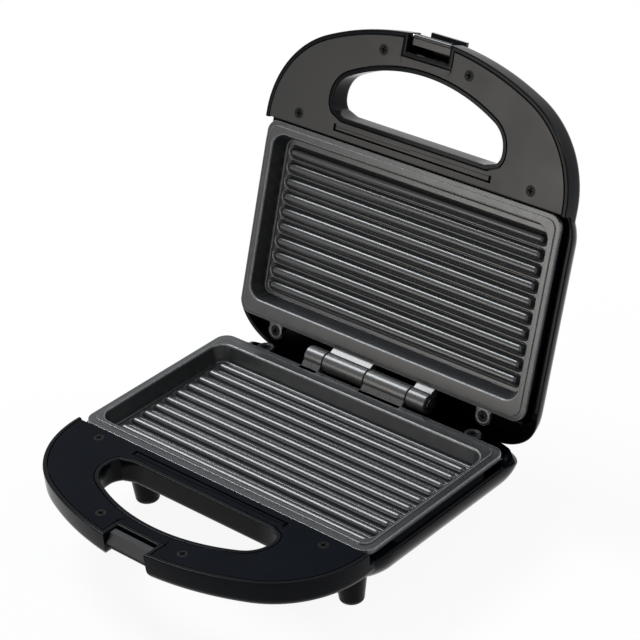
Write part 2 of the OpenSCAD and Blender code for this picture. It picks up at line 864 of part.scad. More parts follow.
// Cross-shaped driver recess cut down from z = 0
module cross_recess(size) {
    for (a = [0, 90]) rotate([0, 0, a])
        block(-size / 2, -size / 8, -size * 0.4, size / 2, size / 8, 1);
}

module countersunk_screw() {
    cone_h = screw_head_r - screw_r;
    top = -0.1;
    color("#26282a") difference() {
        union() {
            post(0, 0, -head_flat, top, screw_head_r);
            translate([0, 0, -head_flat - cone_h])
                cylinder(h = cone_h, r1 = screw_r, r2 = screw_head_r);
            post(0, 0, -screw_len, -head_flat - cone_h, screw_r);
        }
        translate([0, 0, top]) cross_recess(screw_head_r * 1.2);
    }
}

// Pan-head screw with its head above z = 0 and its shank below
module pan_screw(shank_r, len) {
    head_r = shank_r * 1.9;
    head_h = shank_r;
    color("#a7a9ab") difference() {
        union() {
            post(0, 0, 0, head_h, head_r);
            post(0, 0, -len, 0, shank_r);
        }
        translate([0, 0, head_h]) cross_recess(head_r * 1.2);
    }
}

module reflector_screws() {
    both_sides() for (y = reflector_screw_y)
        translate([reflector_screw_x, y, -reflector_drop - reflector_t]) rotate([180, 0, 0])
            pan_screw(screw_r, reflector_screw_len);
}

// Two small screws through a strap of thickness t on the back of the pan
module strap_screws(t) {
    both_sides() translate([small_screw_x, centre_y, floor_z - t]) rotate([180, 0, 0])
        pan_screw(small_screw_r, t + 1.5);
}

module base_cover_screws() {
    in_base() cover_screw_places() countersunk_screw();
}

module lid_cover_screws() {
    in_lid() cover_screw_places() countersunk_screw();
}

module base_lug_screws() {
    in_base() lug_places() countersunk_screw();
}

module lid_lug_screws() {
    in_lid() lug_places() countersunk_screw();
}

module base_reflector_screws() {
    in_base() reflector_screws();
}

module lid_reflector_screws() {
    in_lid() reflector_screws();
}

// ---- fuse, thermostat, terminals and cord entry ----

fuse_r = 2.2;
strap_t = 0.8;

module thermal_fuse() {
    color("#d8d2c4") in_base()
        rod_y(0, centre_y - 7, centre_y + 7, floor_z - fuse_r - 0.05, fuse_r);
}

module fuse_clip() {
    hw = 4;
    in_r = fuse_r + 0.1;
    low = floor_z - 2 * fuse_r - 0.1;
    reach = small_screw_x + 3;
    color("#b9bcc0") in_base() difference() {
        union() {
            block(-reach, centre_y - hw, floor_z - strap_t, reach, centre_y + hw, floor_z);
            block(-in_r - strap_t, centre_y - hw, low - strap_t, in_r + strap_t, centre_y + hw,
                floor_z);
        }
        block(-in_r, centre_y - hw - 1, low, in_r, centre_y + hw + 1, floor_z + 1);
        both_sides() post(small_screw_x, centre_y, -far, 0, small_screw_r + 0.1);
    }
}

module fuse_screws() {
    in_base() strap_screws(strap_t);
}

module thermostat() {
    reach = small_screw_x + 3;
    color("#cfc8b4") in_lid() difference() {
        union() {
            post(0, centre_y, floor_z - 5, floor_z, 7.5);
            block(-reach, centre_y - 3, floor_z - strap_t, reach, centre_y + 3, floor_z);
            both_sides() block(3, centre_y - 2.4, floor_z - 9, 3.8, centre_y + 2.4, floor_z - 4);
        }
        both_sides() post(small_screw_x, centre_y, -far, 0, small_screw_r + 0.1);
    }
}

module thermostat_screws() {
    in_lid() strap_screws(strap_t);
}

terminal_top = dome_in_z + 10;

module terminal_block() {
    color("#e6e3dc") in_base() difference() {
        block(-13, body_mid_y - 5, dome_in_z, 13, body_mid_y + 5, terminal_top);
        both_sides() post(peg_x, body_mid_y, dome_in_z - 1, far, peg_r + 0.06);
        for (x = [-5, 0, 5]) {
            post(x, body_mid_y, terminal_top - 6, far, small_screw_r + screw_clear);
            rod_y(x, body_mid_y - 6, body_mid_y - 3, dome_in_z + 4, 1.4);
            rod_y(x, body_mid_y + 3, body_mid_y + 6, dome_in_z + 4, 1.4);
        }
    }
}

module terminal_screws() {
    in_base() for (x = [-5, 0, 5])
        translate([x, body_mid_y, terminal_top]) pan_screw(small_screw_r, 5);
}

module cord_gland() {
    tail = guard_y - 0.5;
    color("#101113") in_base() difference() {
        union() {
            rod_y(gland_x, tail, gland_y, -gland_drop, gland_seat_r - 0.06);
            rod_y(gland_x, gland_y, gland_y + 2.2, -gland_drop, gland_seat_r + 2);
            translate([gland_x, gland_y + 2.2, -gland_drop]) rotate([-90, 0, 0])
                cylinder(h = 5, r1 = gland_seat_r, r2 = gland_bore_r + 1.2);
        }
        rod_y(gland_x, tail - 1, gland_y + 9, -gland_drop, gland_bore_r);
    }
}

module cord_clamp() {
    color("#e6e3dc") in_base() difference() {
        block(gland_x - clamp_half - 3.4, clamp_y - 3, -gland_drop,
            gland_x + clamp_half + 3.4, clamp_y + 3, 4.5 - gland_drop);
        rod_y(gland_x, clamp_y - 4, clamp_y + 4, -gland_drop, 3.1);
        for (x = [-clamp_half, clamp_half])
            post(gland_x + x, clamp_y, -far, 0, screw_r + 0.1);
    }
}

module cord_clamp_screws() {
    in_base() for (x = [-clamp_half, clamp_half])
        translate([gland_x + x, clamp_y, 4.5 - gland_drop]) pan_screw(screw_r, 10);
}

module sole_front_left() {
    sole(-front_foot_x, front_foot_y);
}

module sole_front_right() {
    sole(front_foot_x, front_foot_y);
}

module sole_rear_left() {
    sole(-rear_foot_x, rear_foot_y);
}

module sole_rear_right() {
    sole(rear_foot_x, rear_foot_y);
}

// ---- hinge and latch ----

pin_end = knuckle_out + 2.4;

module hinge_pin() {
    color("#a7a9ab") in_base() rod_x(-pin_end, pin_end, hinge_y, hinge_rise, hinge_pin_r);
}

module hinge_clips() {
    color("#77797c") in_base() both_sides() difference() {
        rod_x(knuckle_out + 0.4, knuckle_out + 1.4, hinge_y, hinge_rise, hinge_pin_r + 2);
        rod_x(knuckle_out, pin_end, hinge_y, hinge_rise, hinge_pin_r + 0.02);
    }
}

module latch_catch() {
    rear = notch_rear + 2.2;
    lip = 4;
    color("#6f6a61") in_base() {
        extrude_x(0.6 - notch_hw, notch_hw - 0.6) polygon([
            [-rear, -catch_top_drop], [-rear - lip, -catch_top_drop],
            [-catch_reach, 1 - catch_drop], [-catch_reach, -catch_drop], [-rear, -catch_drop]]);
        block(-notch_hw, -catch_reach + 2.3, -catch_drop, notch_hw, -rear, 1 - catch_drop);
    }
}

module latch_pin() {
    reach = notch_hw + 2.1;
    color("#a7a9ab") in_lid() rod_x(-reach, reach, -clip_pin_y, -clip_pin_z, clip_pin_r);
}

module latch_clip() {
    half_t = clip_t / 2;
    nose_z = -2 * clip_pin_z - 2 * hinge_rise - catch_drop - 0.3;
    rib_step = tab_len / 5;
    color("#2a2c2e") in_lid() difference() {
        union() {
            rod_x(-clip_w / 2, clip_w / 2, -clip_pin_y, -clip_pin_z, clip_barrel_r);
            extrude_x(-clip_w / 2, clip_w / 2) {
                translate([clip_y - half_t, arm_end_z])
                    square([clip_t, 1.2 - clip_pin_z - arm_end_z]);
                translate([-clip_pin_y, -clip_pin_z - 1.2]) square([clip_offset, 2.4]);
            }
            // Finger tab, flared away from the handle when the clip is shut
            extrude_x(-tab_w / 2, tab_w / 2) {
                polygon([[clip_y - half_t, arm_end_z + 0.6], [clip_y - half_t, arm_end_z],
                    [tab_end_y - half_t, tab_end_z], [tab_end_y + half_t, tab_end_z],
                    [clip_y + half_t, arm_end_z], [clip_y + half_t, arm_end_z + 0.6]]);
                translate([tab_end_y, tab_end_z]) circle(half_t);
            }
            extrude_x(0.5 - clip_w / 2, clip_w / 2 - 0.5)
                translate([-clip_pin_y - nose_grip, nose_z - nose_t])
                    square([nose_grip + clip_offset + 0.8, nose_t]);
            // Grip ribs on the finger tab
            for (k = [1:4])
                rod_x(1 - tab_w / 2, tab_w / 2 - 1,
                    tab_end_y + half_t - 0.3 - tab_out * k * rib_step / tab_len,
                    tab_end_z + k * rib_step, 0.6);
        }
        rod_x(-clip_w, clip_w, -clip_pin_y, -clip_pin_z, clip_pin_r + clip_clear);
    }
}

// ---- lamps ----

module lens(side) {
    flange = 0.8;
    in_lid() translate([side * lamp_x, lamp_y, 0]) {
        post(0, 0, dome_z - 0.8, dome_in_z, lens_r);
        post(0, 0, dome_in_z, dome_in_z + flange, lens_r + 1.2);
    }
}

module lamp(side) {
    color("#d9d6cf") in_lid() translate([side * lamp_x, lamp_y, 0]) {
        post(0, 0, dome_in_z + 1.2, dome_in_z + lamp_len, 2);
        post(0, 0, dome_in_z + lamp_len, dome_in_z + lamp_len + 1.5, 2.6);
    }
}

// In the turned lid, side 1 lies on the left
module power_lens() {
    color("#b4281e") lens(1);
}

module ready_lens() {
    color("#2f9a3c") lens(-1);
}

module power_lamp() {
    lamp(1);
}

module ready_lamp() {
    lamp(-1);
}

module lamp_holder() {
    x = lamp_x + holder_side;
    top = dome_in_z + lamp_len;
    color("#e6e3dc") in_lid() difference() {
        union() {
            block(-x, lamp_y - holder_hd, top - 1.6, x, lamp_y + holder_hd, top);
            both_sides()
                block(x - 2, lamp_y - holder_hd, dome_in_z, x, lamp_y + holder_hd, top);
        }
        both_sides() post(lamp_x, lamp_y, -far, 0, 2.06);
    }
}

base_housing();
base_handle_cover();
base_heat_plate();
base_heating_element();
base_reflector();
base_reflector_screws();
base_cover_screws();
base_lug_screws();
thermal_fuse();
fuse_clip();
fuse_screws();
terminal_block();
terminal_screws();
cord_gland();
cord_clamp();
cord_clamp_screws();
sole_front_left();
sole_front_right();
sole_rear_left();
sole_rear_right();
hinge_pin();
hinge_clips();
latch_catch();
lid_housing();
lid_handle_cover();
lid_heat_plate();
lid_heating_element();
lid_reflector();
lid_reflector_screws();
lid_cover_screws();
lid_lug_screws();
thermostat();
thermostat_screws();
power_lens();
ready_lens();
lamp_holder();
power_lamp();
ready_lamp();
latch_pin();
latch_clip();
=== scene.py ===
"""Two-slice sandwich toaster with its lid open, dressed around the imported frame.

Both halves share one layout, the half frame, in millimetres: x = 0 is the middle, y = 0 the
front edge of the cooking plate with +y towards the hinge, z = 0 the plate's rim, and the
housing lies at -z. Layout takes the points of either half to the row frame, in metres.
"""

import json
import logging
import math
from collections.abc import Iterable
from dataclasses import dataclass, field
from enum import Enum

import bmesh
import bpy
import numpy as np
from mathutils import Matrix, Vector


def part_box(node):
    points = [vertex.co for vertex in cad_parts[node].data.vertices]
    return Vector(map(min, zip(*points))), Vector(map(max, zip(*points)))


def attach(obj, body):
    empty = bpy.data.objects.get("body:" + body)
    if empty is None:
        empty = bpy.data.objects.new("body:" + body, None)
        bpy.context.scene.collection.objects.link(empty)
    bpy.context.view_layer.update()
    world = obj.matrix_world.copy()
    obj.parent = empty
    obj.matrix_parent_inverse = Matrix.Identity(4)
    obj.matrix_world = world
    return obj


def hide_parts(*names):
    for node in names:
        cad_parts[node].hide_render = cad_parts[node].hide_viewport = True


Array = np.ndarray
RGB = tuple[float, float, float]
Box = tuple[Array | float, Array | float, Array | float, Array | float]
MM = 0.001
MERGE_M = 2e-6
SLIVER_M = 1e-7
NOISE_LOW, NOISE_HIGH = 0.3, 0.7
LOG = logging.getLogger("toaster")

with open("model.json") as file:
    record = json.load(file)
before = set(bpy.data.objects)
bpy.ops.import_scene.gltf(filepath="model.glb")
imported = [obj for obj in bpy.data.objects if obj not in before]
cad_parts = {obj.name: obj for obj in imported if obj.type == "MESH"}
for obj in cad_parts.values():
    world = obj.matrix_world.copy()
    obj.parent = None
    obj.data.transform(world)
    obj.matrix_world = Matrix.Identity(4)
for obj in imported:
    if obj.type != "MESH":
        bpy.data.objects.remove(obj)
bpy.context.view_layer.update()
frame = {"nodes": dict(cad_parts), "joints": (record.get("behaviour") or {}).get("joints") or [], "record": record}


class Half(Enum):
    """The two halves of the toaster, each named after the body that carries it."""

    BASE = "base"
    LID = "lid"


# ---- places ----


@dataclass(frozen=True)
class Layout:
    """Where the half frame lies in the row frame."""

    mid_y: float
    foot_drop: float
    open_deg: float
    hinge_y: float = 133.0
    hinge_z: float = 1.5

    @classmethod
    def from_frame(cls) -> "Layout":
        """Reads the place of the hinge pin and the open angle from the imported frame.

        Returns:
            The layout that the CAD solids have.
        """
        low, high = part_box("hinge_pin")
        centre = (low + high) / 2 / MM
        hinge = next(j for j in frame["joints"] if j["name"] == "lid_hinge")
        return cls(cls.hinge_y - centre.y, centre.z - cls.hinge_z, hinge["range_deg"][1])

    def place(self, points: Array, half: Half) -> Array:
        """Takes points from the half frame to the row frame.

        The base is shifted only. The lid is turned half a turn about y, so that its plate faces
        down on the base's, and then swung back about the hinge axis by the open angle.

        Args:
            points: Points in millimetres, one per row.
            half: The half that carries them.

        Returns:
            The points in metres.
        """
        x, y, z = np.asarray(points, float).T
        if half is Half.LID:
            turn = math.radians(self.open_deg)
            back, up = y - self.hinge_y, self.hinge_z - z
            x = -x
            y = self.hinge_y + back * math.cos(turn) + up * math.sin(turn)
            z = self.hinge_z - back * math.sin(turn) + up * math.cos(turn)
        return np.column_stack([x, y - self.mid_y, z + self.foot_drop]) * MM


# ---- outlines ----


def arc(cx: float, cy: float, r: float, start: float, end: float, count: int = 24) -> Array:
    """Points on a circle, from one angle to another.

    Args:
        cx: Centre in x.
        cy: Centre in y.
        r: Radius.
        start: First angle in degrees.
        end: Last angle in degrees.
        count: Number of points.

    Returns:
        The points, one (x, y) per row.
    """
    a = np.radians(np.linspace(start, end, count))
    return np.column_stack([cx + r * np.cos(a), cy + r * np.sin(a)])


def resample(line: Array, count: int) -> Array:
    """Points at equal steps of length along an open line, without its last point.

    Args:
        line: Points of the line.
        count: Number of points wanted.

    Returns:
        The points, where step k lies at k / count of the line's length.
    """
    steps = np.hypot(*np.diff(line, axis=0).T)
    run = np.concatenate([[0.0], np.cumsum(steps)])
    want = np.arange(count) / count * run[-1]
    return np.column_stack([np.interp(want, run, line[:, k]) for k in range(2)])


@dataclass(frozen=True)
class Sweep:
    """Left half of a front line of large radius that turns into the side by a smaller one."""

    half_w: float
    reach: float
    front_r: float
    corner_r: float

    def corner(self, inset: float, start: float, end: float) -> Array:
        """Part of the corner, between two fractions of its turn, counted from the side.

        The corner's circle touches the side and, from inside, the front circle.

        Args:
            inset: How far the line is drawn in.
            start: Fraction where the part begins.
            end: Fraction where it ends.

        Returns:
            Points of the part.
        """
        cx, cy, turn = self._corner_circle()
        return arc(-cx, cy, self.corner_r - inset, 180 + turn * start, 180 + turn * end)

    def front(self, inset: float, x: float | None, to_x: float) -> Array:
        """Part of the front line between two distances to the left of the middle.

        Args:
            inset: How far the line is drawn in.
            x: Distance where it begins, or None for the end of the corner.
            to_x: Distance where it ends.

        Returns:
            Points of the part.
        """
        r = self.front_r - inset
        turn = self._corner_circle()[2]
        start = 180 + turn if x is None else 270 - math.degrees(math.asin(x / r))
        end = 270 - math.degrees(math.asin(to_x / r))
        return arc(0, self.front_r - self.reach, r, start, end)

    def side_end(self) -> float:
        """The y at which the side turns into the corner."""
        return self._corner_circle()[1]

    def _corner_circle(self) -> tuple[float, float, float]:
        """Centre of the corner, with x to the right of the middle, and its turn in degrees."""
        cx = self.half_w - self.corner_r
        big_y = self.front_r - self.reach
        cy = big_y - math.sqrt((self.front_r - self.corner_r) ** 2 - cx * cx)
        return cx, cy, math.degrees(math.atan2(big_y - cy, cx))


@dataclass(frozen=True)
class HandleOutline:
    """Outer line of a handle with its latch notch, and the line of its hand hole.

    The counts are the steps of the six parts of each line's left half, so that the points of
    the two lines pair up.
    """

    outer: Sweep = Sweep(112.5, 76.0, 184.0, 62.5)
    hole: Sweep = Sweep(63.0, 53.0, 117.0, 17.0)
    hole_rear: float = 14.8
    hole_rear_r: float = 9.0
    hole_turns: tuple[float, ...] = (90, 135, 141, 180)
    notch_half_w: float = 15.5
    notch_rear: float = 64.0
    notch_margin: float = 5.0
    rear_steps: tuple[float, ...] = (0, 30, 60, 92)
    horn_x: float = 104.0
    horn_step: float = 0.05
    side_gap: float = 0.9
    counts: tuple[int, ...] = (7, 3, 34, 34, 7, 8)

    def outer_ring(self, inset: float, middle: float, horn: float, notch_rear: float) -> Array:
        """Outline of the handle, drawn in by inset, with the notch let out by it.

        The left half runs from the middle of the rear round the side and the front to the middle
        of the notch. The right half is its mirror image.

        Args:
            inset: How far the outline is drawn in.
            middle: The y at which it ends in the middle of its rear.
            horn: The y at which it ends beside the body.
            notch_rear: Depth of the notch, as a distance from the plate.

        Returns:
            One turn of points, seen from above against the clock.
        """
        x, step = self.outer.half_w - inset, self.horn_step
        rear_x = np.array([*self.rear_steps, self.horn_x - step, self.horn_x, x - step / 2])
        rear_y = np.where(rear_x >= self.horn_x, horn, middle)
        notch_x, notch_y = self.notch_half_w + inset, inset - notch_rear
        front = self.outer.front(inset, None, notch_x)
        side_y = min(middle, 0.0) - self.side_gap
        parts = [
            np.array([[-x, horn], [-x, side_y]]),
            np.vstack([[[-x, side_y], [-x, self.outer.side_end()]],
                       self.outer.corner(inset, 0, 0.5)]),
            np.vstack([self.outer.corner(inset, 0.5, 1), front]),
            np.array([front[-1], [-notch_x, notch_y]]),
            np.array([[-notch_x, notch_y], [0, notch_y]]),
        ]
        left = [resample(part, steps) for part, steps in zip(parts, self.counts[1:])]
        return self._both([np.column_stack([-rear_x, rear_y]), *left], notch_y)

    def hole_ring(self, inset: float) -> Array:
        """Outline of the hand hole, drawn in by inset, with points that pair with outer_ring's.

        Args:
            inset: How far the hole is made smaller, or larger where it is negative.

        Returns:
            One turn of points, seen from above against the clock.
        """
        r, hole = self.hole_rear_r, self.hole
        cx, cy = hole.half_w - r, -self.hole_rear - r
        x, wide = hole.half_w - inset, self.notch_half_w + self.notch_margin
        turns = zip(self.hole_turns, self.hole_turns[1:])
        rear = [arc(-cx, cy, r - inset, start, end) for start, end in turns]
        parts = [
            np.vstack([[[0, cy + r - inset]], rear[0]]),
            rear[1],
            np.vstack([rear[2], [[-x, cy], [-x, hole.side_end()]], hole.corner(inset, 0, 0.5)]),
            np.vstack([hole.corner(inset, 0.5, 1), hole.front(inset, None, wide)]),
            hole.front(inset, wide, self.notch_half_w),
            hole.front(inset, self.notch_half_w, 0),
        ]
        left = [resample(part, steps) for part, steps in zip(parts, self.counts)]
        return self._both(left, inset - hole.reach)

    @staticmethod
    def _both(parts: list[Array], end_y: float) -> Array:
        """Joins the parts of the left half, ends it in the middle and adds its mirror image."""
        left = np.vstack([*parts, [[0, end_y]]])
        return np.vstack([left, left[-2:0:-1] * [-1, 1]])

    def rear_columns(self) -> Array:
        """True for the columns of a ring that lie along its rear line."""
        left = np.arange(sum(self.counts) + 1) < self.counts[0]
        return np.concatenate([left, left[-2:0:-1]])


@dataclass(frozen=True)
class Columns:
    """Places round a rectangle with rounded corners, one per row.

    Corner 0 is the front right, 1 the rear right, 2 the rear left and 3 the front left. A row
    holds two corners, how they are mixed, and an angle. Its point is the mix of the two corner
    centres, plus the mixed radius in the direction of the angle.
    """

    rows: Array

    @classmethod
    def even(cls, corner: int, sides: tuple[int, int, int, int]) -> "Columns":
        """Equal steps along each corner and each side.

        Args:
            corner: Steps in a corner.
            sides: Steps along the right side, the rear, the left side and the front.

        Returns:
            The columns, against the clock from the front right corner.
        """
        parts = []
        for k, steps in enumerate(sides):
            turn = 90 * (k - 1 + np.linspace(0, 1, corner, endpoint=False))
            run = np.linspace(0, 1, steps, endpoint=False)
            parts += [cls._rows(k, k, 0, turn), cls._rows(k, k + 1, run, 90 * k)]
        return cls(np.vstack(parts))

    @classmethod
    def for_grid(cls, x: Array, y: Array, box: Box, r: float) -> "Columns":
        """Columns that meet the edge of a grid whose lines lie at x and y.

        The grid's corners lie in the middle of the rounded corners, so a grid line's end is
        moved along the edge by a share of that corner's setback, from plus to minus.

        Args:
            x: Wanted places of the grid's columns, from the box's left to its right.
            y: Wanted places of its rows, from the box's front to its rear.
            box: Left, front, right and rear of the rectangle.
            r: Radius of its corners.

        Returns:
            The columns, against the clock from the middle of the front left corner.
        """
        x0, y0, x1, y1 = box
        setback = r * (1 - math.sqrt(0.5))
        ex = x + setback * (1 - 2 * (x - x0) / (x1 - x0))
        ey = y + setback * (1 - 2 * (y - y0) / (y1 - y0))
        return cls(np.vstack([
            cls._edge(ex, x0, x1, r, 3), cls._edge(ey, y0, y1, r, 0),
            cls._edge(x0 + x1 - ex[::-1], x0, x1, r, 1),
            cls._edge(y0 + y1 - ey[::-1], y0, y1, r, 2)]))

    @classmethod
    def _edge(cls, s: Array, s0: float, s1: float, r: float, corner: int) -> Array:
        """Rows for one edge, from the middle of its first corner to just before its second's.

        A place within r of an end lies on that end's corner, turned from the edge's own
        direction by the arc sine of its distance past the corner's centre over r.

        Args:
            s: Places along the edge, of which the last belongs to the next edge.
            s0: Start of the edge, at the outside of the first corner.
            s1: End of the edge.
            r: Corner radius.
            corner: The first corner, after which the edge faces 90 degrees times its number.

        Returns:
            One row per place.
        """
        s = s[:-1]
        before = np.clip((s0 + r - s) / r, 0, 1)
        after = np.clip((s - s1 + r) / r, 0, 1)
        turn = np.degrees(np.arcsin(after) - np.arcsin(before))
        mix = np.clip((s - s0 - r) / (s1 - s0 - 2 * r), 0, 1)
        return cls._rows(corner, corner + 1, mix, 90 * corner + turn)

    @staticmethod
    def _rows(first: int, second: int, mix: Array | float, angle: Array | float) -> Array:
        """Rows of two corners, their mix and an angle."""
        return np.column_stack(np.broadcast_arrays(first, second % 4, mix, angle))

    def points(self, box: Box, front_r: Array | float, rear_r: Array | float) -> Array:
        """Points on the outline of one rectangle or of one per row and column.

        Args:
            box: Left, front, right and rear of the rectangle.
            front_r: Radius of the front corners.
            rear_r: Radius of the rear corners.

        Returns:
            Points with x and y in the last place.
        """
        first, second, mix, angle = self.rows.T
        x0, y0, x1, y1, rf, rr, _ = np.broadcast_arrays(*box, front_r, rear_r, mix)
        corners = np.array([[x1 - rf, y0 + rf, rf], [x1 - rr, y1 - rr, rr],
                            [x0 + rr, y1 - rr, rr], [x0 + rf, y0 + rf, rf]])
        near, far = (np.choose(c.astype(int), corners) for c in (first, second))
        x, y, r = near + (far - near) * mix
        a = np.radians(angle)
        return np.stack([x + r * np.cos(a), y + r * np.sin(a)], -1)


DOME_COLUMNS = Columns.even(16, (32, 24, 32, 24))


# ---- meshes ----


def at_height(ring: Array, z: float | Array) -> Array:
    """The ring's points with z added."""
    return np.column_stack([ring, np.broadcast_to(z, len(ring))])


def rings(rows: Iterable[tuple[Array, float | Array]]) -> Array:
    """Grid whose rows are rings, each given with its height."""
    return np.stack([at_height(ring, z) for ring, z in rows])


class Shell:
    """Closed surfaces in the half frame, gathered into one mesh."""

    def __init__(self) -> None:
        """Starts with no points."""
        self._points: list[Array] = []
        self._faces: list[list[int]] = []
        self._glint_share: list[Array] = []
        self._count = 0

    def grid(self, points: Array, around: bool = True, ring: bool = False, caps: bool = False,
             glint_share: Array | float = 0.0) -> None:
        """Adds the quads of a grid of points.

        Args:
            points: Points as rows by columns by three.
            around: Joins the last column to the first.
            ring: Joins the last row to the first.
            caps: Closes the first and the last row with a flat face.
            glint_share: Share of painted highlight, from 0 to 1, one per row or one for all.
        """
        rows, cols = points.shape[:2]
        index = np.arange(rows * cols).reshape(rows, cols) + self._count
        if caps:
            self._faces += [index[0, ::-1].tolist(), index[-1].tolist()]
        if around:
            index = np.hstack([index, index[:, :1]])
        if ring:
            index = np.vstack([index, index[:1]])
        quads = np.stack([index[:-1, :-1], index[:-1, 1:], index[1:, 1:], index[1:, :-1]], -1)
        self._faces += quads.reshape(-1, 4).tolist()
        self._add(points.reshape(-1, 3), np.repeat(np.broadcast_to(glint_share, rows), cols))

    def face(self, ring: Array) -> None:
        """Adds one flat face through the points of a ring."""
        self._faces.append(list(range(self._count, self._count + len(ring))))
        self._add(ring, np.zeros(len(ring)))

    def _add(self, points: Array, glint_share: Array) -> None:
        """Adds points with their share of painted highlight, one per row."""
        self._points.append(points)
        self._glint_share.append(glint_share)
        self._count += len(points)

    def lathe(self, profile: Iterable[tuple[float, float]], x: float, y: float, z: float = 0,
              axis: str = "z", ring: bool = False, count: int = 48) -> None:
        """Adds a profile of radius and height turned about an axis.

        Args:
            profile: Radius and height of each point.
            x: Place of the profile's origin in x.
            y: Its place in y.
            z: Its place in z.
            axis: The letter of the axis.
            ring: Joins the profile's ends, for a ring with a bore.
            count: Steps round the axis.
        """
        r, h = np.array(list(profile), float).T[:, :, None]
        a = np.linspace(0, 2 * np.pi, count, endpoint=False)
        across, up, along = r * np.cos(a), r * np.sin(a), h + 0 * a
        order = {"z": (across, up, along), "x": (along, across, up), "y": (up, along, across)}
        self.grid(np.stack(order[axis], -1) + [x, y, z], ring=ring, caps=not ring)

    def prism(self, line: Array, low: float, high: float, axis: str = "z", edge: float = 0.3
              ) -> None:
        """Adds a flat outline drawn out along an axis, with its ends drawn in by edge.

        A point of an end ring lies on the line from the outline's middle, nearer by about edge.

        Args:
            line: Outline, against the clock seen from the end of the axis.
            low: Where it begins.
            high: Where it ends.
            axis: "z", or "x" where the outline holds y and z.
            edge: Size of the bevel round the ends.
        """
        line = np.asarray(line, float)
        middle = (line.max(0) + line.min(0)) / 2
        reach = (line.max(0) - line.min(0)) / 2
        small = middle + (line - middle) * (1 - edge / reach)
        grid = rings([(small, low), (line, low + edge), (line, high - edge), (small, high)])
        self.grid(grid[:, :, [2, 0, 1]] if axis == "x" else grid, caps=True)

    def make(self, name: str, layout: Layout, half: Half, sharp: float = 35) -> bpy.types.Object:
        """Makes the object, with doubles merged and faces turned outwards.

        Args:
            name: Name of the piece.
            layout: Where the half frame lies.
            half: The half that carries the piece.
            sharp: Angle in degrees above which an edge stays sharp.

        Returns:
            The object, at the origin, with its place in its mesh.
        """
        mesh = bpy.data.meshes.new(name)
        mesh.from_pydata(layout.place(np.vstack(self._points), half).tolist(), [], self._faces)
        # painted highlight: the per-point share of the light edge colour
        edge_glint = mesh.attributes.new("glint_share", "FLOAT", "POINT")
        edge_glint.data.foreach_set("value", np.concatenate(self._glint_share).astype(np.float32))
        bm = bmesh.new()
        bm.from_mesh(mesh)
        bmesh.ops.remove_doubles(bm, verts=bm.verts, dist=MERGE_M)
        bmesh.ops.dissolve_degenerate(bm, edges=bm.edges, dist=SLIVER_M)
        bmesh.ops.recalc_face_normals(bm, faces=bm.faces)
        bm.to_mesh(mesh)
        bm.free()
        smooth(mesh, sharp)
        obj = bpy.data.objects.new(name, mesh)
        bpy.context.scene.collection.objects.link(obj)
        return obj


def smooth(mesh: bpy.types.Mesh, sharp: float) -> None:
    """Shades a mesh smooth but for the edges that turn by more than sharp degrees."""
    mesh.shade_smooth()
    mesh.set_sharp_from_angle(angle=math.radians(sharp))


def cut(obj: bpy.types.Object, tool: bpy.types.Object, sharp: float = 30) -> None:
    """Takes one solid away from another for good and removes the tool.

    Args:
        obj: Solid that is cut.
        tool: Solid that is taken away from it.
        sharp: Angle in degrees above which an edge of the result stays sharp.
    """
    modifier = obj.modifiers.new("cut", "BOOLEAN")
    modifier.operation = "DIFFERENCE"
    modifier.solver = "EXACT"
    modifier.object = tool
    result = bpy.data.meshes.new_from_object(
        obj.evaluated_get(bpy.context.evaluated_depsgraph_get()))
    obj.modifiers.clear()
    result.name = obj.name
    obj.data = result
    smooth(result, sharp)
    bpy.data.objects.remove(tool)


# ---- finishes ----


def add_node(tree: bpy.types.NodeTree, kind: str, inputs: dict, **settings: str
             ) -> bpy.types.Node:
    """Adds a shader node.

    Args:
        tree: Node tree that takes it.
        kind: Its type, without the start that all shader nodes share.
        inputs: The value or the source of each input, under the input's name or number.
        settings: Settings of the node itself, made before its inputs.

    Returns:
        The node.
    """
    node = tree.nodes.new("ShaderNode" + kind)
    for name, value in settings.items():
        setattr(node, name, value)
    feed(tree, node, inputs)
    return node


def feed(tree: bpy.types.NodeTree, node: bpy.types.Node, inputs: dict) -> None:
    """Sets or links inputs of a node.

    Args:
        tree: The node's tree.
        node: The node.
        inputs: The value or the source of each input, under the input's name or number.
    """
    for key, value in inputs.items():
        if isinstance(value, bpy.types.NodeSocket):
            tree.links.new(value, node.inputs[key])
        else:
            node.inputs[key].default_value = value


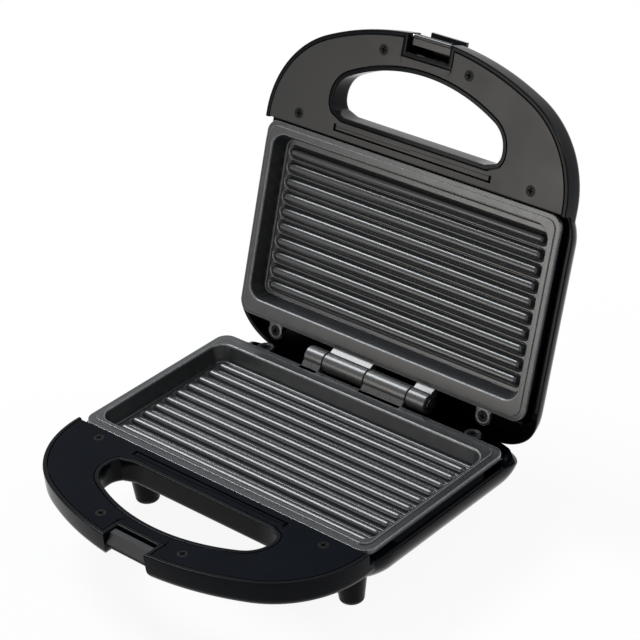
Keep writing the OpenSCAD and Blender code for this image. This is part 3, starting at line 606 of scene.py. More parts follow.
@dataclass(frozen=True)
class Finish:
    """A surface whose colour, gloss and fine relief vary over it.

    A coarse noise mixes two colours and two roughnesses, fine flecks add a third colour where a
    second noise passes a limit, the piece's own glint_share attribute lays a light colour along
    its edges as a painted highlight, broken into patches by a noise, and a fine noise lifts the
    surface.
    """

    name: str
    dark: RGB
    light: RGB
    rough: tuple[float, float] = (0.3, 0.4)
    metallic: float = 0.0
    specular: float = 0.5
    mottle: float = 60.0
    grain: float = 1500.0
    relief: float = 0.01
    fleck: RGB | None = None
    fleck_scale: float = 1800.0
    fleck_limit: float = 0.66
    fleck_blend: float = 0.06
    # painted highlight: the light colour laid along edges by the glint_share attribute
    edge_glint: RGB | None = None
    stretch: tuple[float, float, float] = (1, 1, 1)
    transmission: float = 0.0

    def material(self) -> bpy.types.Material:
        """The finish as a material, made once.

        Returns:
            The material.
        """
        known = bpy.data.materials.get(self.name)
        if known:
            return known
        mat = bpy.data.materials.new(self.name)
        mat.use_nodes = True
        mat.diffuse_color = (*self.light, 1)
        tree = mat.node_tree
        place = add_node(tree, "TexCoord", {}).outputs["Object"]
        mapping = add_node(tree, "Mapping", {"Vector": place, "Scale": self.stretch})
        place = mapping.outputs["Vector"]
        coarse = self._noise(tree, place, self.mottle, 4)
        colour = self._mix(tree, coarse, (*self.dark, 1), self.light)
        if self.fleck:
            spots = add_node(tree, "MapRange", {
                "Value": self._noise(tree, place, self.fleck_scale, 2),
                "From Min": self.fleck_limit, "From Max": self.fleck_limit + self.fleck_blend})
            colour = self._mix(tree, spots.outputs["Result"], colour, self.fleck)
        # painted highlight: the edge colour is mixed in where the glint_share attribute and a patchy noise allow
        if self.edge_glint:
            glint_share = add_node(tree, "Attribute", {}, attribute_name="glint_share").outputs["Fac"]
            patches = self._noise(tree, place, self.grain / 4, 3)
            share = add_node(tree, "Math", {0: glint_share, 1: patches}, operation="MULTIPLY")
            colour = self._mix(tree, share.outputs["Value"], colour, self.edge_glint)
        gloss = add_node(tree, "MapRange", {
            "Value": coarse, "From Min": NOISE_LOW, "From Max": NOISE_HIGH,
            "To Min": self.rough[0], "To Max": self.rough[1]})
        bump = add_node(tree, "Bump", {
            "Distance": self.relief * MM, "Height": self._noise(tree, place, self.grain, 3)})
        feed(tree, tree.nodes["Principled BSDF"], {
            "Base Color": colour, "Roughness": gloss.outputs["Result"],
            "Normal": bump.outputs["Normal"], "Metallic": self.metallic,
            "Specular IOR Level": self.specular, "Transmission Weight": self.transmission})
        return mat

    @staticmethod
    def _noise(tree: bpy.types.NodeTree, place: bpy.types.NodeSocket, scale: float,
               detail: float) -> bpy.types.NodeSocket:
        """Adds a noise of the given scale per metre and returns its value."""
        inputs = {"Vector": place, "Scale": scale, "Detail": detail}
        return add_node(tree, "TexNoise", inputs).outputs["Fac"]

    @staticmethod
    def _mix(tree: bpy.types.NodeTree, share: bpy.types.NodeSocket,
             first: bpy.types.NodeSocket | tuple, second: RGB) -> bpy.types.NodeSocket:
        """Adds a mix of two colours by share, where first may be a socket."""
        inputs = {"Factor": share, "A": first, "B": (*second, 1)}
        return add_node(tree, "Mix", inputs, data_type="RGBA").outputs["Result"]

    def dress(self, obj: bpy.types.Object) -> None:
        """Gives the object this finish alone."""
        obj.data.materials.clear()
        obj.data.materials.append(self.material())


MOULDING = Finish("gloss_black_moulding", (0.0018, 0.0022, 0.0032), (0.003, 0.0037, 0.0052),
                  rough=(0.1, 0.17), specular=0.06, mottle=25, grain=900, relief=0.004)
# The two covers are one satin material in two copies: the base's is painted darker and bluer, with almost no
# reflection, as painted shade, and the lid's is painted lighter and far glossier, as painted light.
SATIN_SHADED_COPY = Finish("cover_satin_shaded_copy", (0.003, 0.004, 0.0062), (0.005, 0.0064, 0.0092),
               rough=(0.3, 0.38), specular=0.015, mottle=40, grain=2600, relief=0.012)
SATIN_LIT_COPY = Finish("cover_satin_lit_copy", (0.0056, 0.0058, 0.006), (0.0088, 0.009, 0.0092),
                   rough=(0.3, 0.38), specular=0.27, mottle=40, grain=2600, relief=0.012)
# The casting's light edge colour is a painted highlight for the bright lines along the plate's edges.
CASTING = Finish("fine_nonstick", (0.018, 0.0192, 0.0212), (0.026, 0.0275, 0.0295),
                 rough=(0.2, 0.26), specular=0.48, mottle=120, grain=2400, relief=0.006,
                 fleck=(0.05, 0.05, 0.05), fleck_scale=3200,
                 edge_glint=(0.36, 0.38, 0.4))
KNUCKLE = Finish("satin_knuckles", (0.035, 0.035, 0.035), (0.045, 0.045, 0.045),
                 rough=(0.26, 0.3), specular=0.5, mottle=400, grain=2600, relief=0.012)
PIN = Finish("dark_pin", (0.008, 0.008, 0.008), (0.02, 0.02, 0.02), rough=(0.3, 0.42),
             metallic=0.5, mottle=400)
PLATED = Finish("zinc_plated_steel", (0.42, 0.42, 0.43), (0.6, 0.6, 0.6), rough=(0.25, 0.4),
                metallic=1.0, mottle=400, stretch=(1, 8, 8))
BLACK_SCREW = Finish("blackened_screws", (0.005, 0.005, 0.0055), (0.014, 0.014, 0.015),
                     rough=(0.24, 0.36), specular=0.06, mottle=500, grain=3000, relief=0.02)
ELEMENT = Finish("heat_dulled_tube", (0.16, 0.15, 0.14), (0.3, 0.29, 0.28), rough=(0.4, 0.6),
                 metallic=0.9, mottle=300)
SHEET = Finish("bright_sheet", (0.55, 0.55, 0.56), (0.72, 0.72, 0.74), rough=(0.2, 0.35),
               metallic=1.0, mottle=120)
SOLE = Finish("sole_rubber", (0.008, 0.008, 0.009), (0.014, 0.014, 0.015), rough=(0.55, 0.7),
              mottle=150, relief=0.03)
GLAND = Finish("gland_rubber", (0.01, 0.01, 0.011), (0.016, 0.016, 0.018), rough=(0.5, 0.65),
               mottle=150, relief=0.03)
CERAMIC = Finish("ceramic_parts", (0.6, 0.57, 0.5), (0.75, 0.73, 0.67), rough=(0.4, 0.55),
                 mottle=200)
CATCH = Finish("catch_moulding", (0.016, 0.017, 0.0185), (0.025, 0.0265, 0.029),
               rough=(0.35, 0.45), specular=0.2, mottle=100, grain=2000, relief=0.015)
CLIP = Finish("gloss_black_clip", (0.012, 0.0125, 0.014), (0.02, 0.0205, 0.023),
              rough=(0.14, 0.24), specular=0.3, mottle=60, grain=900, relief=0.004)
LENS_RED = Finish("red_lens", (0.3, 0.01, 0.006), (0.5, 0.02, 0.012), rough=(0.06, 0.12),
                  transmission=0.5, mottle=200)
LENS_GREEN = Finish("green_lens", (0.01, 0.25, 0.03), (0.02, 0.4, 0.05), rough=(0.06, 0.12),
                    transmission=0.5, mottle=200)
LAMP = Finish("lamp_glass", (0.8, 0.78, 0.74), (0.9, 0.88, 0.84), rough=(0.04, 0.08),
              transmission=0.9, mottle=200)

SLOT_FINISH = {
    "housing": MOULDING, "cover": SATIN_SHADED_COPY, "nonstick_casting": CASTING, "element_steel": ELEMENT,
    "reflector_sheet": SHEET, "black_screw": BLACK_SCREW, "plated_steel": PLATED,
    "sole_rubber": SOLE, "gland_rubber": GLAND, "ceramic": CERAMIC, "catch": CATCH,
    "clip": CLIP, "lens_red": LENS_RED, "lens_green": LENS_GREEN, "lamp_glass": LAMP,
}
NODE_FINISH = {"hinge_pin": PIN, "hinge_clips": PIN}


# ---- pieces ----


def settle(obj: bpy.types.Object, body: str, slot: str, *nodes: str) -> None:
    """Dresses a piece, fixes it to its body and reports it.

    Its normals are weighted by area, so that a flat stays flat beside a rounded edge.

    Args:
        obj: The piece.
        body: CAD body that carries it.
        slot: Material slot of the record that it takes its finish from.
        nodes: CAD nodes that it stands for.
    """
    SLOT_FINISH[slot].dress(obj)
    weigh = obj.modifiers.new("flat_faces", "WEIGHTED_NORMAL")
    weigh.keep_sharp = True
    weigh.weight = 100
    if nodes:
        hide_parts(*nodes)
    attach(obj, body)
    LOG.info("%s on %s, %d faces", obj.name, body, len(obj.data.polygons))


@dataclass(frozen=True)
class Housing:
    """Glossy moulding of one half: the handle and the domed body behind it."""

    layout: Layout
    half: Half
    shell: Shell = field(default_factory=Shell)
    outline: HandleOutline = HandleOutline()
    handle_t: float = 17.0
    seat_depth: float = 2.7
    rim_w: float = 2.6
    edge_r: float = 6.5
    edge_steps: int = 10
    draft: float = 0.5
    hole_flare: float = 3.0
    notch_skin_rear: float = 67.5
    notch_floor: float = 2.5
    notch_slope: float = 0.9
    front_gap: float = 0.6
    shelf_z: float = 7.6
    shelf_in: float = 0.3
    horn_rear: float = 25.0
    inner_rear: float = 4.0
    body_half_w: float = 115.5
    body_front: float = 11.0
    body_rear_y: float = 148.0
    rim_drop: float = 7.2
    dome_h: float = 36.5
    dome_in: tuple[float, float, float] = (78.0, 56.0, 40.0)
    dome_rows: int = 30
    corner_r: tuple[float, float] = (27.0, 28.5)
    corner_shrink: float = 0.45
    wall: float = 2.5
    wall_edge: float = 0.8
    max_sine: float = 0.95
    rounds: tuple[int, int] = (25, 12)
    fall_start_y: float = 120.0
    stop_gap: float = 0.3
    lip_h: float = 3.0
    lip_from_y: float = 136.0
    lip_run: float = 3.0
    guard_y: float = 125.5
    guard_t: float = 2.0
    guard_half_w: float = 104.5
    guard_low: float = -22.0
    guard_gap: float = 0.1
    shelf_top: float = -20.0
    shelf_turn: float = 24.0
    shelf_inset: float = 1.2

    def build(self) -> None:
        """Makes the moulding and puts it in the CAD housing's place."""
        self._handle()
        self._dome()
        self._guard()
        name = self.half.value
        if self.half is Half.BASE:
            Feet().add(self.shell)
            CordBoss().add(self.shell)
        settle(self.shell.make(f"{name}_moulding", self.layout, self.half), name, "housing",
               f"{name}_housing")

    def _handle(self) -> None:
        """Adds the handle: rings from the hand hole over the cover's seat and round the outside.

        A row of the three lists holds an inset and a height: the hand hole's wall and rim, the
        outer rim, which ends flat just before the plate, and the outside below the shelf, which
        reaches back as two horns beside the body.
        """
        t, rim, seat, flare = self.handle_t, self.rim_w, self.seat_depth, self.hole_flare
        hole = [(-flare, -t), (-flare * 0.5, 1.2 - t), (-flare * 0.3, 1.9 - t),
                (-flare * 0.13, 2.8 - t), (0, 5 - t), (0, -0.6), (-0.12, -0.25), (-0.35, -0.05),
                (-0.6, 0), (-rim + 0.4, 0), (-rim + 0.1, -0.1), (-rim, -0.4), (-rim, -seat)]
        shelf = (self.shelf_in, -self.shelf_z)
        upper = [(rim, -seat), (rim, -0.4), (rim - 0.1, -0.1), (rim - 0.4, 0), (0.8, 0),
                 (0.45, -0.08), (0.15, -0.3), (0, -0.8), shelf]
        turn = np.radians(np.linspace(0, 90, self.edge_steps))
        lower = [shelf, *zip(self.draft + self.edge_r * (1 - np.cos(turn)),
                             self.edge_r * (1 - np.sin(turn)) - t)]
        at_rear = self.outline.rear_columns()
        gap, notch, floor_z = -self.front_gap, self.outline.notch_rear, self.notch_floor - t
        rows = [(self.outline.hole_ring(i), z) for i, z in hole]
        for i, z in upper:
            heights = np.where(at_rear, min(z, -seat), z)
            rows.append((self.outline.outer_ring(i, gap, gap, notch), heights))
        above = True
        for i, z in lower:
            skin = self.notch_skin_rear + max(i - self.draft, 0) * self.notch_slope
            rear = self.inner_rear, self.horn_rear
            if above and z <= floor_z:
                above = False
                rows += [(self.outline.outer_ring(i, *rear, depth), floor_z)
                         for depth in (notch, self.notch_skin_rear)]
            rows.append((self.outline.outer_ring(i, *rear, notch if above else skin), z))
        self.shell.grid(rings(rows), ring=True)

    def _outline(self, turn: Array | float, inset: float) -> Array:
        """Outline of the dome at an angle of its side curve, inside a wall of thickness inset.

        Each side is drawn in by the inset plus its reach times one minus the cosine of the
        angle, and the corners shrink with the cosine.

        Args:
            turn: Angle in degrees, 0 at the rim and 90 at the bottom.
            inset: Thickness of the wall outside it.

        Returns:
            Points of the outline.
        """
        fall = 1 - np.cos(np.radians(turn))
        side_in, front_in, rear_in = (inset + reach * fall for reach in self.dome_in)
        front_r, rear_r = ((r - inset) * (1 - self.corner_shrink * fall) for r in self.corner_r)
        x = self.body_half_w - side_in
        box = -x, front_in - self.body_front, x, self.body_rear_y - rear_in
        return DOME_COLUMNS.points(box, front_r, rear_r)

    def rim_z(self, y: Array | float) -> Array:
        """Height of the housing's rim, which falls straight towards the rear.

        Args:
            y: Distance from the plate's front edge.

        Returns:
            Height at each distance.
        """
        end_y, end_z = self._meeting()
        return np.interp(y, [self.fall_start_y, end_y], [-self.rim_drop, end_z])

    def _meeting(self) -> tuple[float, float]:
        """Place at which the rear faces of the two halves meet when the lid is fully open.

        Its height lies on the plane that halves the open angle, less the gap, and the rear face
        is drawn in there by its reach times one minus the cosine of the side curve's angle. The
        two are worked out in turn until they settle.

        Returns:
            Distance from the plate's front edge, and height.
        """
        lay = self.layout
        slope = math.tan(math.radians(lay.open_deg / 2))
        y, z = self.body_rear_y, -self.rim_drop
        for _ in range(self.rounds[0]):
            sine = (-self.rim_drop - z) / self.dome_h
            y = self.body_rear_y - self.dome_in[2] * (1 - math.sqrt(1 - sine ** 2))
            z = lay.hinge_z - self.stop_gap - (y - lay.hinge_y) * slope
        return y, z

    def _start_turn(self, inset: float) -> Array:
        """Angle of the side curve at which each column of a wall meets the rim's edge.

        The height of a column at its present angle is compared with the rim's height there, and
        the angle is worked out again from the sine, which settles within a few rounds.

        Args:
            inset: Thickness outside the wall's surface.

        Returns:
            One angle in degrees per column.
        """
        turn = np.zeros(len(DOME_COLUMNS.rows))
        for _ in range(self.rounds[1]):
            y = self._outline(turn, inset)[:, 1]
            depth = self.wall_edge - self.rim_drop - self.rim_z(y)
            turn = np.degrees(np.arcsin(np.clip(depth / (self.dome_h - inset), 0, self.max_sine)))
        return turn

    def _skin(self, inset: float) -> Array:
        """Outer or inner surface of the dome, from the rim to the bottom.

        Args:
            inset: Thickness of the wall outside it.

        Returns:
            Points as a grid, one row per angle.
        """
        start = self._start_turn(inset)
        turn = start + (90 - start) * np.linspace(0, 1, self.dome_rows)[:, None]
        z = -self.rim_drop - (self.dome_h - inset) * np.sin(np.radians(turn))
        return np.dstack([self._outline(turn, inset), z])

    def _dome(self) -> None:
        """Adds the domed body: outer surface, rounded rim and inner surface.

        A row of the rim's profile holds an inset, a drop below the rim and a share of the lip.
        In the base the lip stands on the inside of the rear rim and hides the seam to the lid.
        """
        profile = ((0.06, 0.5, 0), (0.25, 0.2, 0), (0.6, 0, 0), (2.2, 0, 0), (2.3, 0, 1),
                   (3.4, 0, 1), (3.5, 0.2, 0))
        lip = self.lip_h if self.half is Half.BASE else 0.0
        start = self._start_turn(0.0)
        rim = []
        for inset, drop, share in profile:
            flat = self._outline(start, inset)
            y = flat[:, 1]
            rise = share * lip * np.clip((y - self.lip_from_y) / self.lip_run, 0, 1)
            rim.append((flat, self.rim_z(y) - drop + rise))
        self.shell.grid(np.concatenate([self._skin(0.0)[::-1], rings(rim), self._skin(self.wall)]),
                        caps=True)

    def _guard(self) -> None:
        """Adds the wall and the shelf that close the body behind the plate."""
        y, t, x, shelf = self.guard_y, self.guard_t, self.guard_half_w, self.shelf_top
        top = float(self.rim_z(y + t)) - self.guard_gap
        self.shell.prism([[-x, y], [x, y], [x, y + t], [-x, y + t]], self.guard_low, top)
        y += t / 2
        line = self._outline(self.shelf_turn, self.shelf_inset)
        behind = line[line[:, 1] > y]
        side = behind[0, 0]
        self.shell.prism(np.vstack([[side, y], behind, [-side, y]]), shelf - t, shelf)


@dataclass(frozen=True)
class Feet:
    """Posts under the base, each tapered towards its rubber sole."""

    places: tuple[tuple[float, float], ...] = ((80.5, 19), (-80.5, 19), (52, 122), (-52, 122))
    sole_r: float = 7.25
    taper: float = 0.125
    foot_drop: float = 56.0
    sole_t: float = 2.2
    top: float = -29.7
    edge: float = 0.6

    def add(self, shell: Shell) -> None:
        """Adds the four posts, cones whose radius grows with the height above the soles.

        Args:
            shell: Takes the surfaces.
        """
        low, edge = self.sole_t - self.foot_drop, self.edge
        low_r, edge_r, top_r = (self.sole_r + self.taper * (z + self.foot_drop)
                                for z in (low, low + edge, self.top))
        profile = [(low_r - edge, low), (low_r - edge / 4, low + edge / 4), (edge_r, low + edge),
                   (top_r, self.top)]
        for x, y in self.places:
            shell.lathe(profile, x, y)


@dataclass(frozen=True)
class CordBoss:
    """Boss at the rear of the base that carries the cord gland."""

    x: float = 62.0
    z: float = -28.0
    seat_r: float = 6.0
    boss_r: float = 8.5
    start_y: float = 125.5
    end_y: float = 146.0
    edge: float = 0.8

    def add(self, shell: Shell) -> None:
        """Adds the boss, a ring with a rounded outer edge.

        Args:
            shell: Takes the surface.
        """
        r, end, edge = self.boss_r, self.end_y, self.edge
        profile = [(self.seat_r, self.start_y), (r, self.start_y), (r, end - edge),
                   (r - edge * 0.3, end - edge / 4), (r - edge, end), (self.seat_r, end)]
        shell.lathe(profile, self.x, 0, self.z, "y", ring=True)


@dataclass(frozen=True)
class HandleCover:
    """Satin cover that lies flush in a handle, held by four countersunk screws.

    The lines of the slot and the seam, and the profile of a screw seat, are cut from its face.
    """

    layout: Layout
    half: Half
    outline: HandleOutline = HandleOutline()
    inset: float = 3.1
    thickness: float = 2.5
    edge: float = 0.45
    rear: float = -1.5
    slot: tuple[tuple[float, float], ...] = (
        (-59, -9.9), (-57.2, -9.9), (-57.2, -6.6), (57.2, -6.6), (57.2, -9.9), (59, -9.9),
        (59, -5.4), (-59, -5.4))
    slot_depth: float = 4.0
    seam: tuple[tuple[float, float], ...] = (
        (-56.9, -9.55), (0, -9.55), (0.9, -8.55), (56.9, -8.55), (56.9, -8.05), (0.6, -8.05),
        (-0.3, -9.05), (-56.9, -9.05))
    seam_depth: float = 0.5
    screws: tuple[tuple[float, float], ...] = ((86.8, -8.9), (31.5, -61.4))
    screw_seat: tuple[tuple[float, float], ...] = ((1.6, -4), (1.6, -2.1), (3.3, -0.4), (3.3, 1))

    def build(self) -> None:
        """Makes the cover, cuts its groove and screw seats, and puts it in place."""
        i, e, t, rear = self.inset, self.edge, self.thickness, self.rear
        steps = [(0, -t), (0, -e), (0.1 * e, -0.6 * e), (0.35 * e, -0.2 * e), (e, 0)]
        rows = [(self.outline.hole_ring(-i - d), z) for d, z in steps]
        rows += [(self.outline.outer_ring(i + d, rear - d, rear - d, self.outline.notch_rear), z)
                 for d, z in steps[::-1]]
        shell = Shell()
        shell.grid(rings(rows), ring=True)
        name = self.half.value
        cover = shell.make(f"{name}_cover", self.layout, self.half, 30)
        cut(cover, self._tools().make("tools", self.layout, self.half))
        settle(cover, name, "cover", f"{name}_handle_cover")
        # the lid's cover takes the lit copy of the satin finish, painted lighter and glossier than the base's
        if self.half is Half.LID:
            SATIN_LIT_COPY.dress(cover)

    def _tools(self) -> Shell:
        """Solids that cut the groove and the screw seats.

        Returns:
            The solids.
        """
        tools = Shell()
        above = 1.0
        for line, depth in ((self.slot, self.slot_depth), (self.seam, self.seam_depth)):
            tools.grid(rings([(np.array(line), -depth), (np.array(line), above)]), caps=True)
        for x, y in self.screws:
            for side in (-1, 1):
                tools.lathe(self.screw_seat, side * x, y)
        return tools


@dataclass(frozen=True)
class HeatPlate:
    """Ribbed cooking plate with its stepped rim, hinge knuckles and screw lugs.

    The five edges are profiles. A row holds an inset, a height and, where the edge carries a
    painted highlight, how much of it. The foot's rows count from the pan's drafted floor, the
    ledge's insets from the ledge's width, which differs between the halves, and the underside's
    heights from below.
    """

    layout: Layout
    half: Half
    ledge_w: float
    shell: Shell = field(default_factory=Shell)
    width: float = 220.0
    depth: float = 124.0
    corner_r: float = 8.0
    corner_share: float = 0.6
    edge_t: float = 3.5
    step: float = 1.0
    side_margin: float = 6.5
    front_margin: float = 7.5
    rear_margin: float = 11.0
    pan_depth: float = 10.8
    draft: float = 2.5
    pan_r: float = 9.0
    skin: float = 2.5
    floor_in: float = 1.0
    foot_edge: tuple[tuple[float, float], ...] = (
        (0.8, 0.03), (0.5, 0.13), (0.22, 0.38), (0.08, 0.7), (-0.02, 1.1))
    pan_edge: tuple[tuple[float, float, float], ...] = (
        (0, -1.6, 0), (-0.06, -1.1, 0.2), (-0.22, -0.6, 0.7), (-0.5, -0.22, 1),
        (-0.85, -0.04, 0.7), (-1.1, 0, 0))
    ledge_edge: tuple[tuple[float, float, float], ...] = (
        (0.4, 0, 0), (0.12, -0.1, 1), (0, -0.35, 1), (0, -0.8, 0), (-0.1, -0.95, 0),
        (-0.3, -1, 0))
    rim_edge: tuple[tuple[float, float, float], ...] = (
        (0.5, -1, 0), (0.15, -1.12, 1), (0, -1.5, 0.6))
    under_edge: tuple[tuple[float, float], ...] = ((0, 0.5), (0.15, 0.12), (0.5, 0))
    ribs: int = 10
    pitch: float = 9.5
    rib_r: float = 3.2
    rib_h: float = 2.8
    rib_end_inset: float = 13.2
    rib_rear_inset: float = 20.2
    rib_fall: float = 2.0
    fillet: float = 0.3
    groove: tuple[float, float, float] = (3.6, 0.45, 0.7)
    end_run: float = 11.0
    end_steps: int = 17
    middle_steps: int = 30
    floor_rows: int = 400
    knuckle_r: float = 6.3
    knuckle_edge: float = 0.6
    knuckles: tuple[tuple[float, float], ...] = ((-46.7, -32.85), (0.25, 32.35))
    web_in: float = 0.2
    web_root: tuple[float, float] = (3.0, 0.4)
    lug: tuple[float, float, float] = (81.0, 129.5, 5.4)
    lug_top: float = -3.6
    lug_t: float = 3.0
    lug_edge: float = 0.5
    bore_r: float = 1.6
    sink: tuple[tuple[float, float], ...] = ((3.6, 0), (3.35, -0.1), (3.3, -0.4), (1.6, -2.1))
    tongue: tuple[tuple[float, float], ...] = ((2.5, 0.1), (3.7, 3.4))
    tongue_root: float = 4.0
    tongue_in: float = 0.05

    def build(self) -> None:
        """Makes the plate and its knuckles, and puts the plate in the CAD plate's place."""
        self._pan()
        self._lugs()
        name = self.half.value
        settle(self.shell.make(f"{name}_plate", self.layout, self.half, 40), name,
               "nonstick_casting", f"{name}_heat_plate")
        rods = self._knuckles().make(f"{name}_knuckles", self.layout, self.half, 40)
        settle(rods, name, "nonstick_casting")
        KNUCKLE.dress(rods)

    def _pan_box(self, inset: float) -> Box:
        """Left, front, right and rear of the pan, drawn in by inset."""
        x = self.width / 2 - self.side_margin - inset
        return -x, self.front_margin + inset, x, self.depth - self.rear_margin - inset

    def floor_z(self, x: Array, y: Array) -> Array:
        """Height of the pan's floor with its ribs.

        A rib is a rod with round ends: its height is the root of the squared radius less the
        squared distance from its axis, less the depth of the axis below the floor. Floor and
        rib are joined by half the sum of that height and the root of its square plus the
        squared fillet. A fine bell-shaped groove runs round the foot of each rib.

        Args:
            x: Places in x.
            y: Places in y.

        Returns:
            Height at each place.
        """
        last = self.depth - self.rib_rear_inset
        row = np.clip(np.round((last - y) / self.pitch), 0, self.ribs - 1)
        end = self.width / 2 - self.rib_end_inset - self.rib_r
        away = np.hypot(np.maximum(np.abs(x) - end, 0), y - (last - row * self.pitch))
        sunk = self.rib_r - self.rib_h
        inside = np.sqrt(np.maximum(self.rib_r ** 2 - away ** 2, 0))
        high = inside - sunk - np.maximum(away - self.rib_r, 0) * self.rib_fall
        at, half_w, deep = self.groove
        bell = deep * np.exp(-((away - at) / half_w) ** 2)
        return -self.pan_depth + (high + np.sqrt(high ** 2 + self.fillet ** 2)) / 2 - bell

    def _floor(self) -> tuple[Columns, Array]:
        """Adds the ribbed floor, a grid stretched between the four sides of the pan's bottom.

        Each point is the sum of the two mixes of opposite sides less the mix of the corners.

        Returns:
            The columns that meet the floor's edge, and the points of that edge.
        """
        inset, ends = self.draft + self.floor_in, np.linspace(0, self.end_run, self.end_steps)
        x0, y0, x1, y1 = box = self._pan_box(inset)
        r = self.pan_r - inset
        middle = np.linspace(x0 + self.end_run, x1 - self.end_run, self.middle_steps)[1:-1]
        x = np.concatenate([x0 + ends, middle, (x1 - ends)[::-1]])
        y = np.linspace(y0, y1, self.floor_rows)
        columns = Columns.for_grid(x, y, box, r)
        edge = columns.points(box, r, r)
        n, m = len(x) - 1, len(y) - 1
        closed = np.vstack([edge, edge[:1]])
        front, right = closed[: n + 1], closed[n: n + m + 1]
        rear, left = closed[n + m: 2 * n + m + 1][::-1], closed[2 * n + m:][::-1]
        u = ((x - x0) / (x1 - x0))[None, :, None]
        v = ((y - y0) / (y1 - y0))[:, None, None]
        flat = ((1 - v) * front + v * rear + (1 - u) * left[:, None] + u * right[:, None]
                - (1 - u) * (1 - v) * front[0] - u * (1 - v) * front[-1]
                - (1 - u) * v * rear[0] - u * v * rear[-1])
        self.shell.grid(np.dstack([flat, self.floor_z(flat[..., 0], flat[..., 1])]), around=False)
        return columns, at_height(edge, self.floor_z(edge[:, 0], edge[:, 1]))

    def _pan(self) -> None:
        """Adds the plate: ribbed floor, wall, stepped rim, edge and underside.

        Outside the floor the rows are outlines, each with a height and its share of painted highlight.
        """
        columns, floor_edge = self._floor()

        def pan(i: float, z: float) -> Array:
            """Outline of the pan, drawn in by i, at a height."""
            r = self.pan_r - i
            return at_height(columns.points(self._pan_box(i), r, r), z)

        def plate(i: float, z: float) -> Array:
            """Outline of the whole plate, drawn in by i, at a height."""
            x, r = self.width / 2 - i, self.corner_r - self.corner_share * i
            return at_height(columns.points((-x, i, x, self.depth - i), r, r), z)

        rows = [(floor_edge, 0)]
        rows += [(pan(self.draft + i, z - self.pan_depth), 0) for i, z in self.foot_edge]
        # the third value of a pan, ledge or rim row is its share of painted highlight
        rows += [(pan(i, z), glint_share) for i, z, glint_share in self.pan_edge]
        rows += [(plate(self.ledge_w + i, z), glint_share) for i, z, glint_share in self.ledge_edge]
        rows += [(plate(i, z), glint_share) for i, z, glint_share in self.rim_edge]
        under = -self.step - self.edge_t
        rows += [(plate(i, under + z), 0) for i, z in self.under_edge]
        rows += [(pan(-self.skin, z), 0) for z in (under, -self.pan_depth - self.skin)]
        outlines, glint_share = zip(*rows)
        self.shell.grid(np.stack(outlines), glint_share=np.array(glint_share, float))
        self.shell.face(outlines[-1])

    def _knuckles(self) -> Shell:
        """The hinge knuckles, chamfered rods, and the webs that join them to the plate.

        Returns:
            Their surfaces.
        """
        shell = Shell()
        r, c, (root, gap) = self.knuckle_r, self.knuckle_edge, self.web_root
        y, z, low = self.layout.hinge_y, self.layout.hinge_z, -self.edge_t - self.step
        web = [[self.depth - root, low], [y, z - r], [y, z], [y - r, z],
               [self.depth + gap, -self.step], [self.depth - root, -self.step]]
        chamfer = ((r - c, 0), (r - c * 0.3, c / 3), (r, c))
        for x0, x1 in self.knuckles:
            ends = [(radius, x1 - along) for radius, along in chamfer[::-1]]
            shell.lathe([(radius, x0 + along) for radius, along in chamfer] + ends, 0, y, z, "x")
            shell.prism(web, x0 + self.web_in, x1 - self.web_in, "x")
        return shell

    def _lugs(self) -> None:
        """Adds the two screw lugs, rings with a countersunk bore on a short tongue."""
        x, y, r = self.lug
        top, low = self.lug_top, self.lug_top - self.lug_t
        edge, ((side_back, side_in), (back, back_in)) = self.lug_edge, self.tongue
        ring = [(self.bore_r, low), (r - 0.8 * edge, low), (r, low + 0.8 * edge), (r, top - edge),
                (r - 0.3 * edge, top - 0.3 * edge), (r - edge, top),
                *((radius, top + z) for radius, z in self.sink)]
        wide, narrow, root = r - side_in, r - back_in, self.depth - self.tongue_root
        tongue = np.array([[-wide, root], [wide, root], [wide, y - side_back],
                           [narrow, y - back], [-narrow, y - back], [-wide, y - side_back]])
        for side in (-1, 1):
            self.shell.lathe(ring, side * x, y, ring=True)
            self.shell.prism(tongue + [side * x, 0], low + self.tongue_in, top - self.tongue_in)


def dress_cad_nodes() -> None:
    """Gives each CAD node that still shows the finish of its slot."""
    slots = {part["node"]: part["material_slot"] for part in frame["record"]["subparts"]}
    for name, node in frame["nodes"].items():
        if not node.hide_render:
            NODE_FINISH.get(name, SLOT_FINISH[slots[name]]).dress(node)
            LOG.info("%s keeps its CAD mesh", name)


# ---- studio ----


@dataclass(frozen=True)
class Softbox:
    """Soft lamp with a rectangular face."""

    name: str
    at: tuple[float, float, float]
    size: tuple[float, float]
    radiance: float
    tint: RGB = (1.0, 1.0, 1.0)

    def light(self, target: tuple[float, float, float]) -> None:
        """Adds the lamp, facing a place. Its power is its radiance times its area times pi.

        Args:
            target: Place that it faces, in metres.
        """
        data = bpy.data.lights.new(self.name, "AREA")
        data.shape = "RECTANGLE"
        data.size, data.size_y = self.size
        data.color = self.tint
        data.energy = self.radiance * self.size[0] * self.size[1] * math.pi
        away = unit(np.subtract(self.at, target))
        side = unit(np.cross([0, 0, 1], away))
        put(bpy.data.objects.new(self.name, data), side, np.cross(away, side), away, self.at)


def unit(v: Array) -> Array:
    """The vector at a length of one."""
    return v / np.linalg.norm(v)


def put(obj: bpy.types.Object, x: Array, y: Array, z: Array, at: Array) -> None:
    """Links an object to the scene, with the given axes and place."""
    bpy.context.scene.collection.objects.link(obj)
    obj.matrix_world = Matrix([*np.column_stack([x, y, z, at]).tolist(), [0, 0, 0, 1]])


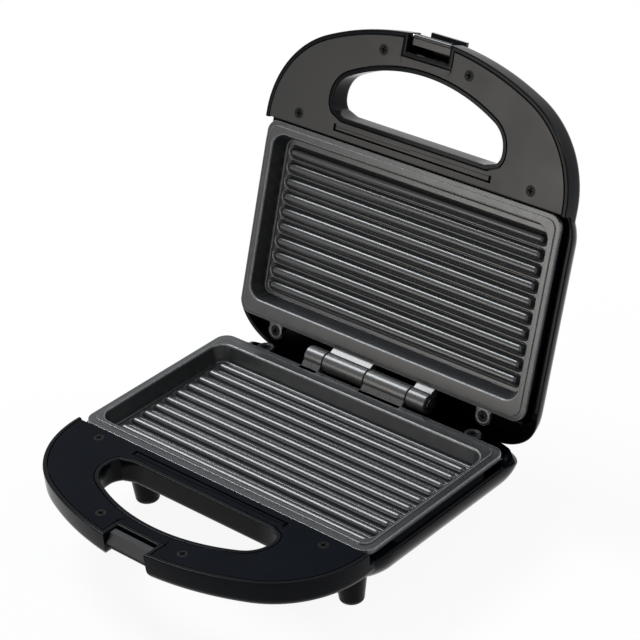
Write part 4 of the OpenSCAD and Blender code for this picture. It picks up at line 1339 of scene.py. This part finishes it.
@dataclass(frozen=True)
class Studio:
    """Pale floor, white surroundings, soft lamps and the camera."""

    layout: Layout
    lens: float = 130.44
    sensor: float = 36.0
    clip: tuple[float, float] = (0.05, 60.0)
    azimuth: float = 42.54
    elevation: float = 30.58
    roll: float = -3.02
    eye: tuple[float, float, float] = (777.0, -754.3, 741.1)
    target: tuple[float, float, float] = (0.0, 0.03, 0.12)
    floor_size: float = 12.0
    floor_grey: float = 0.82
    floor_white: float = 0.92
    sky_light: float = 0.2
    softboxes: tuple[Softbox, ...] = (
        Softbox("softbox_key", (-1.16, 0.07, 1.74), (0.8, 0.8), 18.0, (0.93, 0.97, 1.0)),
        Softbox("softbox_front", (-0.86, -1.87, 0.42), (0.9, 0.8), 5.5, (1.0, 0.95, 0.88)),
        Softbox("softbox_rear", (1.3, 1.5, 1.3), (1.0, 0.8), 8.0),
        Softbox("softbox_fill", (0.9, 0.3, 1.8), (1.0, 1.0), 1.5),
    )

    def build(self) -> None:
        """Makes floor, world, lamps and camera."""
        self._floor()
        self._world()
        for softbox in self.softboxes:
            softbox.light(self.target)
        self._camera()
        bpy.context.scene.view_settings.view_transform = "Standard"

    @staticmethod
    def _show_white(tree: bpy.types.NodeTree) -> bpy.types.NodeSocket:
        """Adds nodes whose value is 1 for camera, glossy and transmission rays.

        Args:
            tree: Node tree that takes them.

        Returns:
            The value.
        """
        path = add_node(tree, "LightPath", {}).outputs
        total = path["Is Camera Ray"]
        for name in ("Is Glossy Ray", "Is Transmission Ray"):
            higher = add_node(tree, "Math", {0: total, 1: path[name]}, operation="MAXIMUM")
            total = higher.outputs["Value"]
        return total

    def _floor(self) -> None:
        """Makes the floor, which shows white and keeps part of the object's shadow."""
        s = self.floor_size / 2
        mesh = bpy.data.meshes.new("floor")
        mesh.from_pydata([(-s, -s, 0), (s, -s, 0), (s, s, 0), (-s, s, 0)], [], [(0, 1, 2, 3)])
        floor = bpy.data.objects.new("floor", mesh)
        bpy.context.scene.collection.objects.link(floor)
        mat = bpy.data.materials.new("pale_floor")
        mat.use_nodes = True
        tree = mat.node_tree
        tree.nodes.clear()
        grey = (self.floor_grey, self.floor_grey, self.floor_grey, 1)
        diffuse = add_node(tree, "BsdfDiffuse", {"Color": grey})
        glow = add_node(tree, "Emission", {})
        share = add_node(tree, "Math", {0: self._show_white(tree), 1: self.floor_white},
                         operation="MULTIPLY")
        mix = add_node(tree, "MixShader", {0: share.outputs["Value"], 1: diffuse.outputs["BSDF"],
                                           2: glow.outputs["Emission"]})
        add_node(tree, "OutputMaterial", {"Surface": mix.outputs["Shader"]})
        floor.data.materials.append(mat)

    def _world(self) -> None:
        """Makes a world that shows white and lights the object with a soft grey."""
        world = bpy.data.worlds.new("studio")
        bpy.context.scene.world = world
        world.use_nodes = True
        tree = world.node_tree
        level = add_node(tree, "MapRange", {
            "Value": self._show_white(tree), "To Min": self.sky_light, "To Max": 1.0})
        feed(tree, tree.nodes["Background"], {
            "Color": (1, 1, 1, 1), "Strength": level.outputs["Result"]})

    def _camera(self) -> None:
        """Makes the camera, turned by azimuth, elevation and roll."""
        data = bpy.data.cameras.new("camera")
        data.lens = self.lens
        data.sensor_width = self.sensor
        data.clip_start, data.clip_end = self.clip
        camera = bpy.data.objects.new("camera", data)
        bpy.context.scene.camera = camera
        az, el, roll = (math.radians(v) for v in (self.azimuth, self.elevation, self.roll))
        ahead = np.array([-math.sin(az) * math.cos(el), math.cos(az) * math.cos(el),
                          -math.sin(el)])
        level = np.array([math.cos(az), math.sin(az), 0.0])
        up = np.cross(level, ahead)
        right = math.cos(roll) * level + math.sin(roll) * up
        upright = -math.sin(roll) * level + math.cos(roll) * up
        put(camera, right, upright, -ahead, self.layout.place([self.eye], Half.BASE)[0])


def main() -> None:
    """Builds the pieces of the toaster in order, then the studio."""
    logging.basicConfig(level=logging.INFO, format="%(message)s")
    layout = Layout.from_frame()
    for half, ledge in ((Half.BASE, 4.5), (Half.LID, 2.8)):
        Housing(layout, half).build()
        HandleCover(layout, half).build()
        HeatPlate(layout, half, ledge).build()
    dress_cad_nodes()
    Studio(layout).build()


if __name__ == "__main__":
    main()
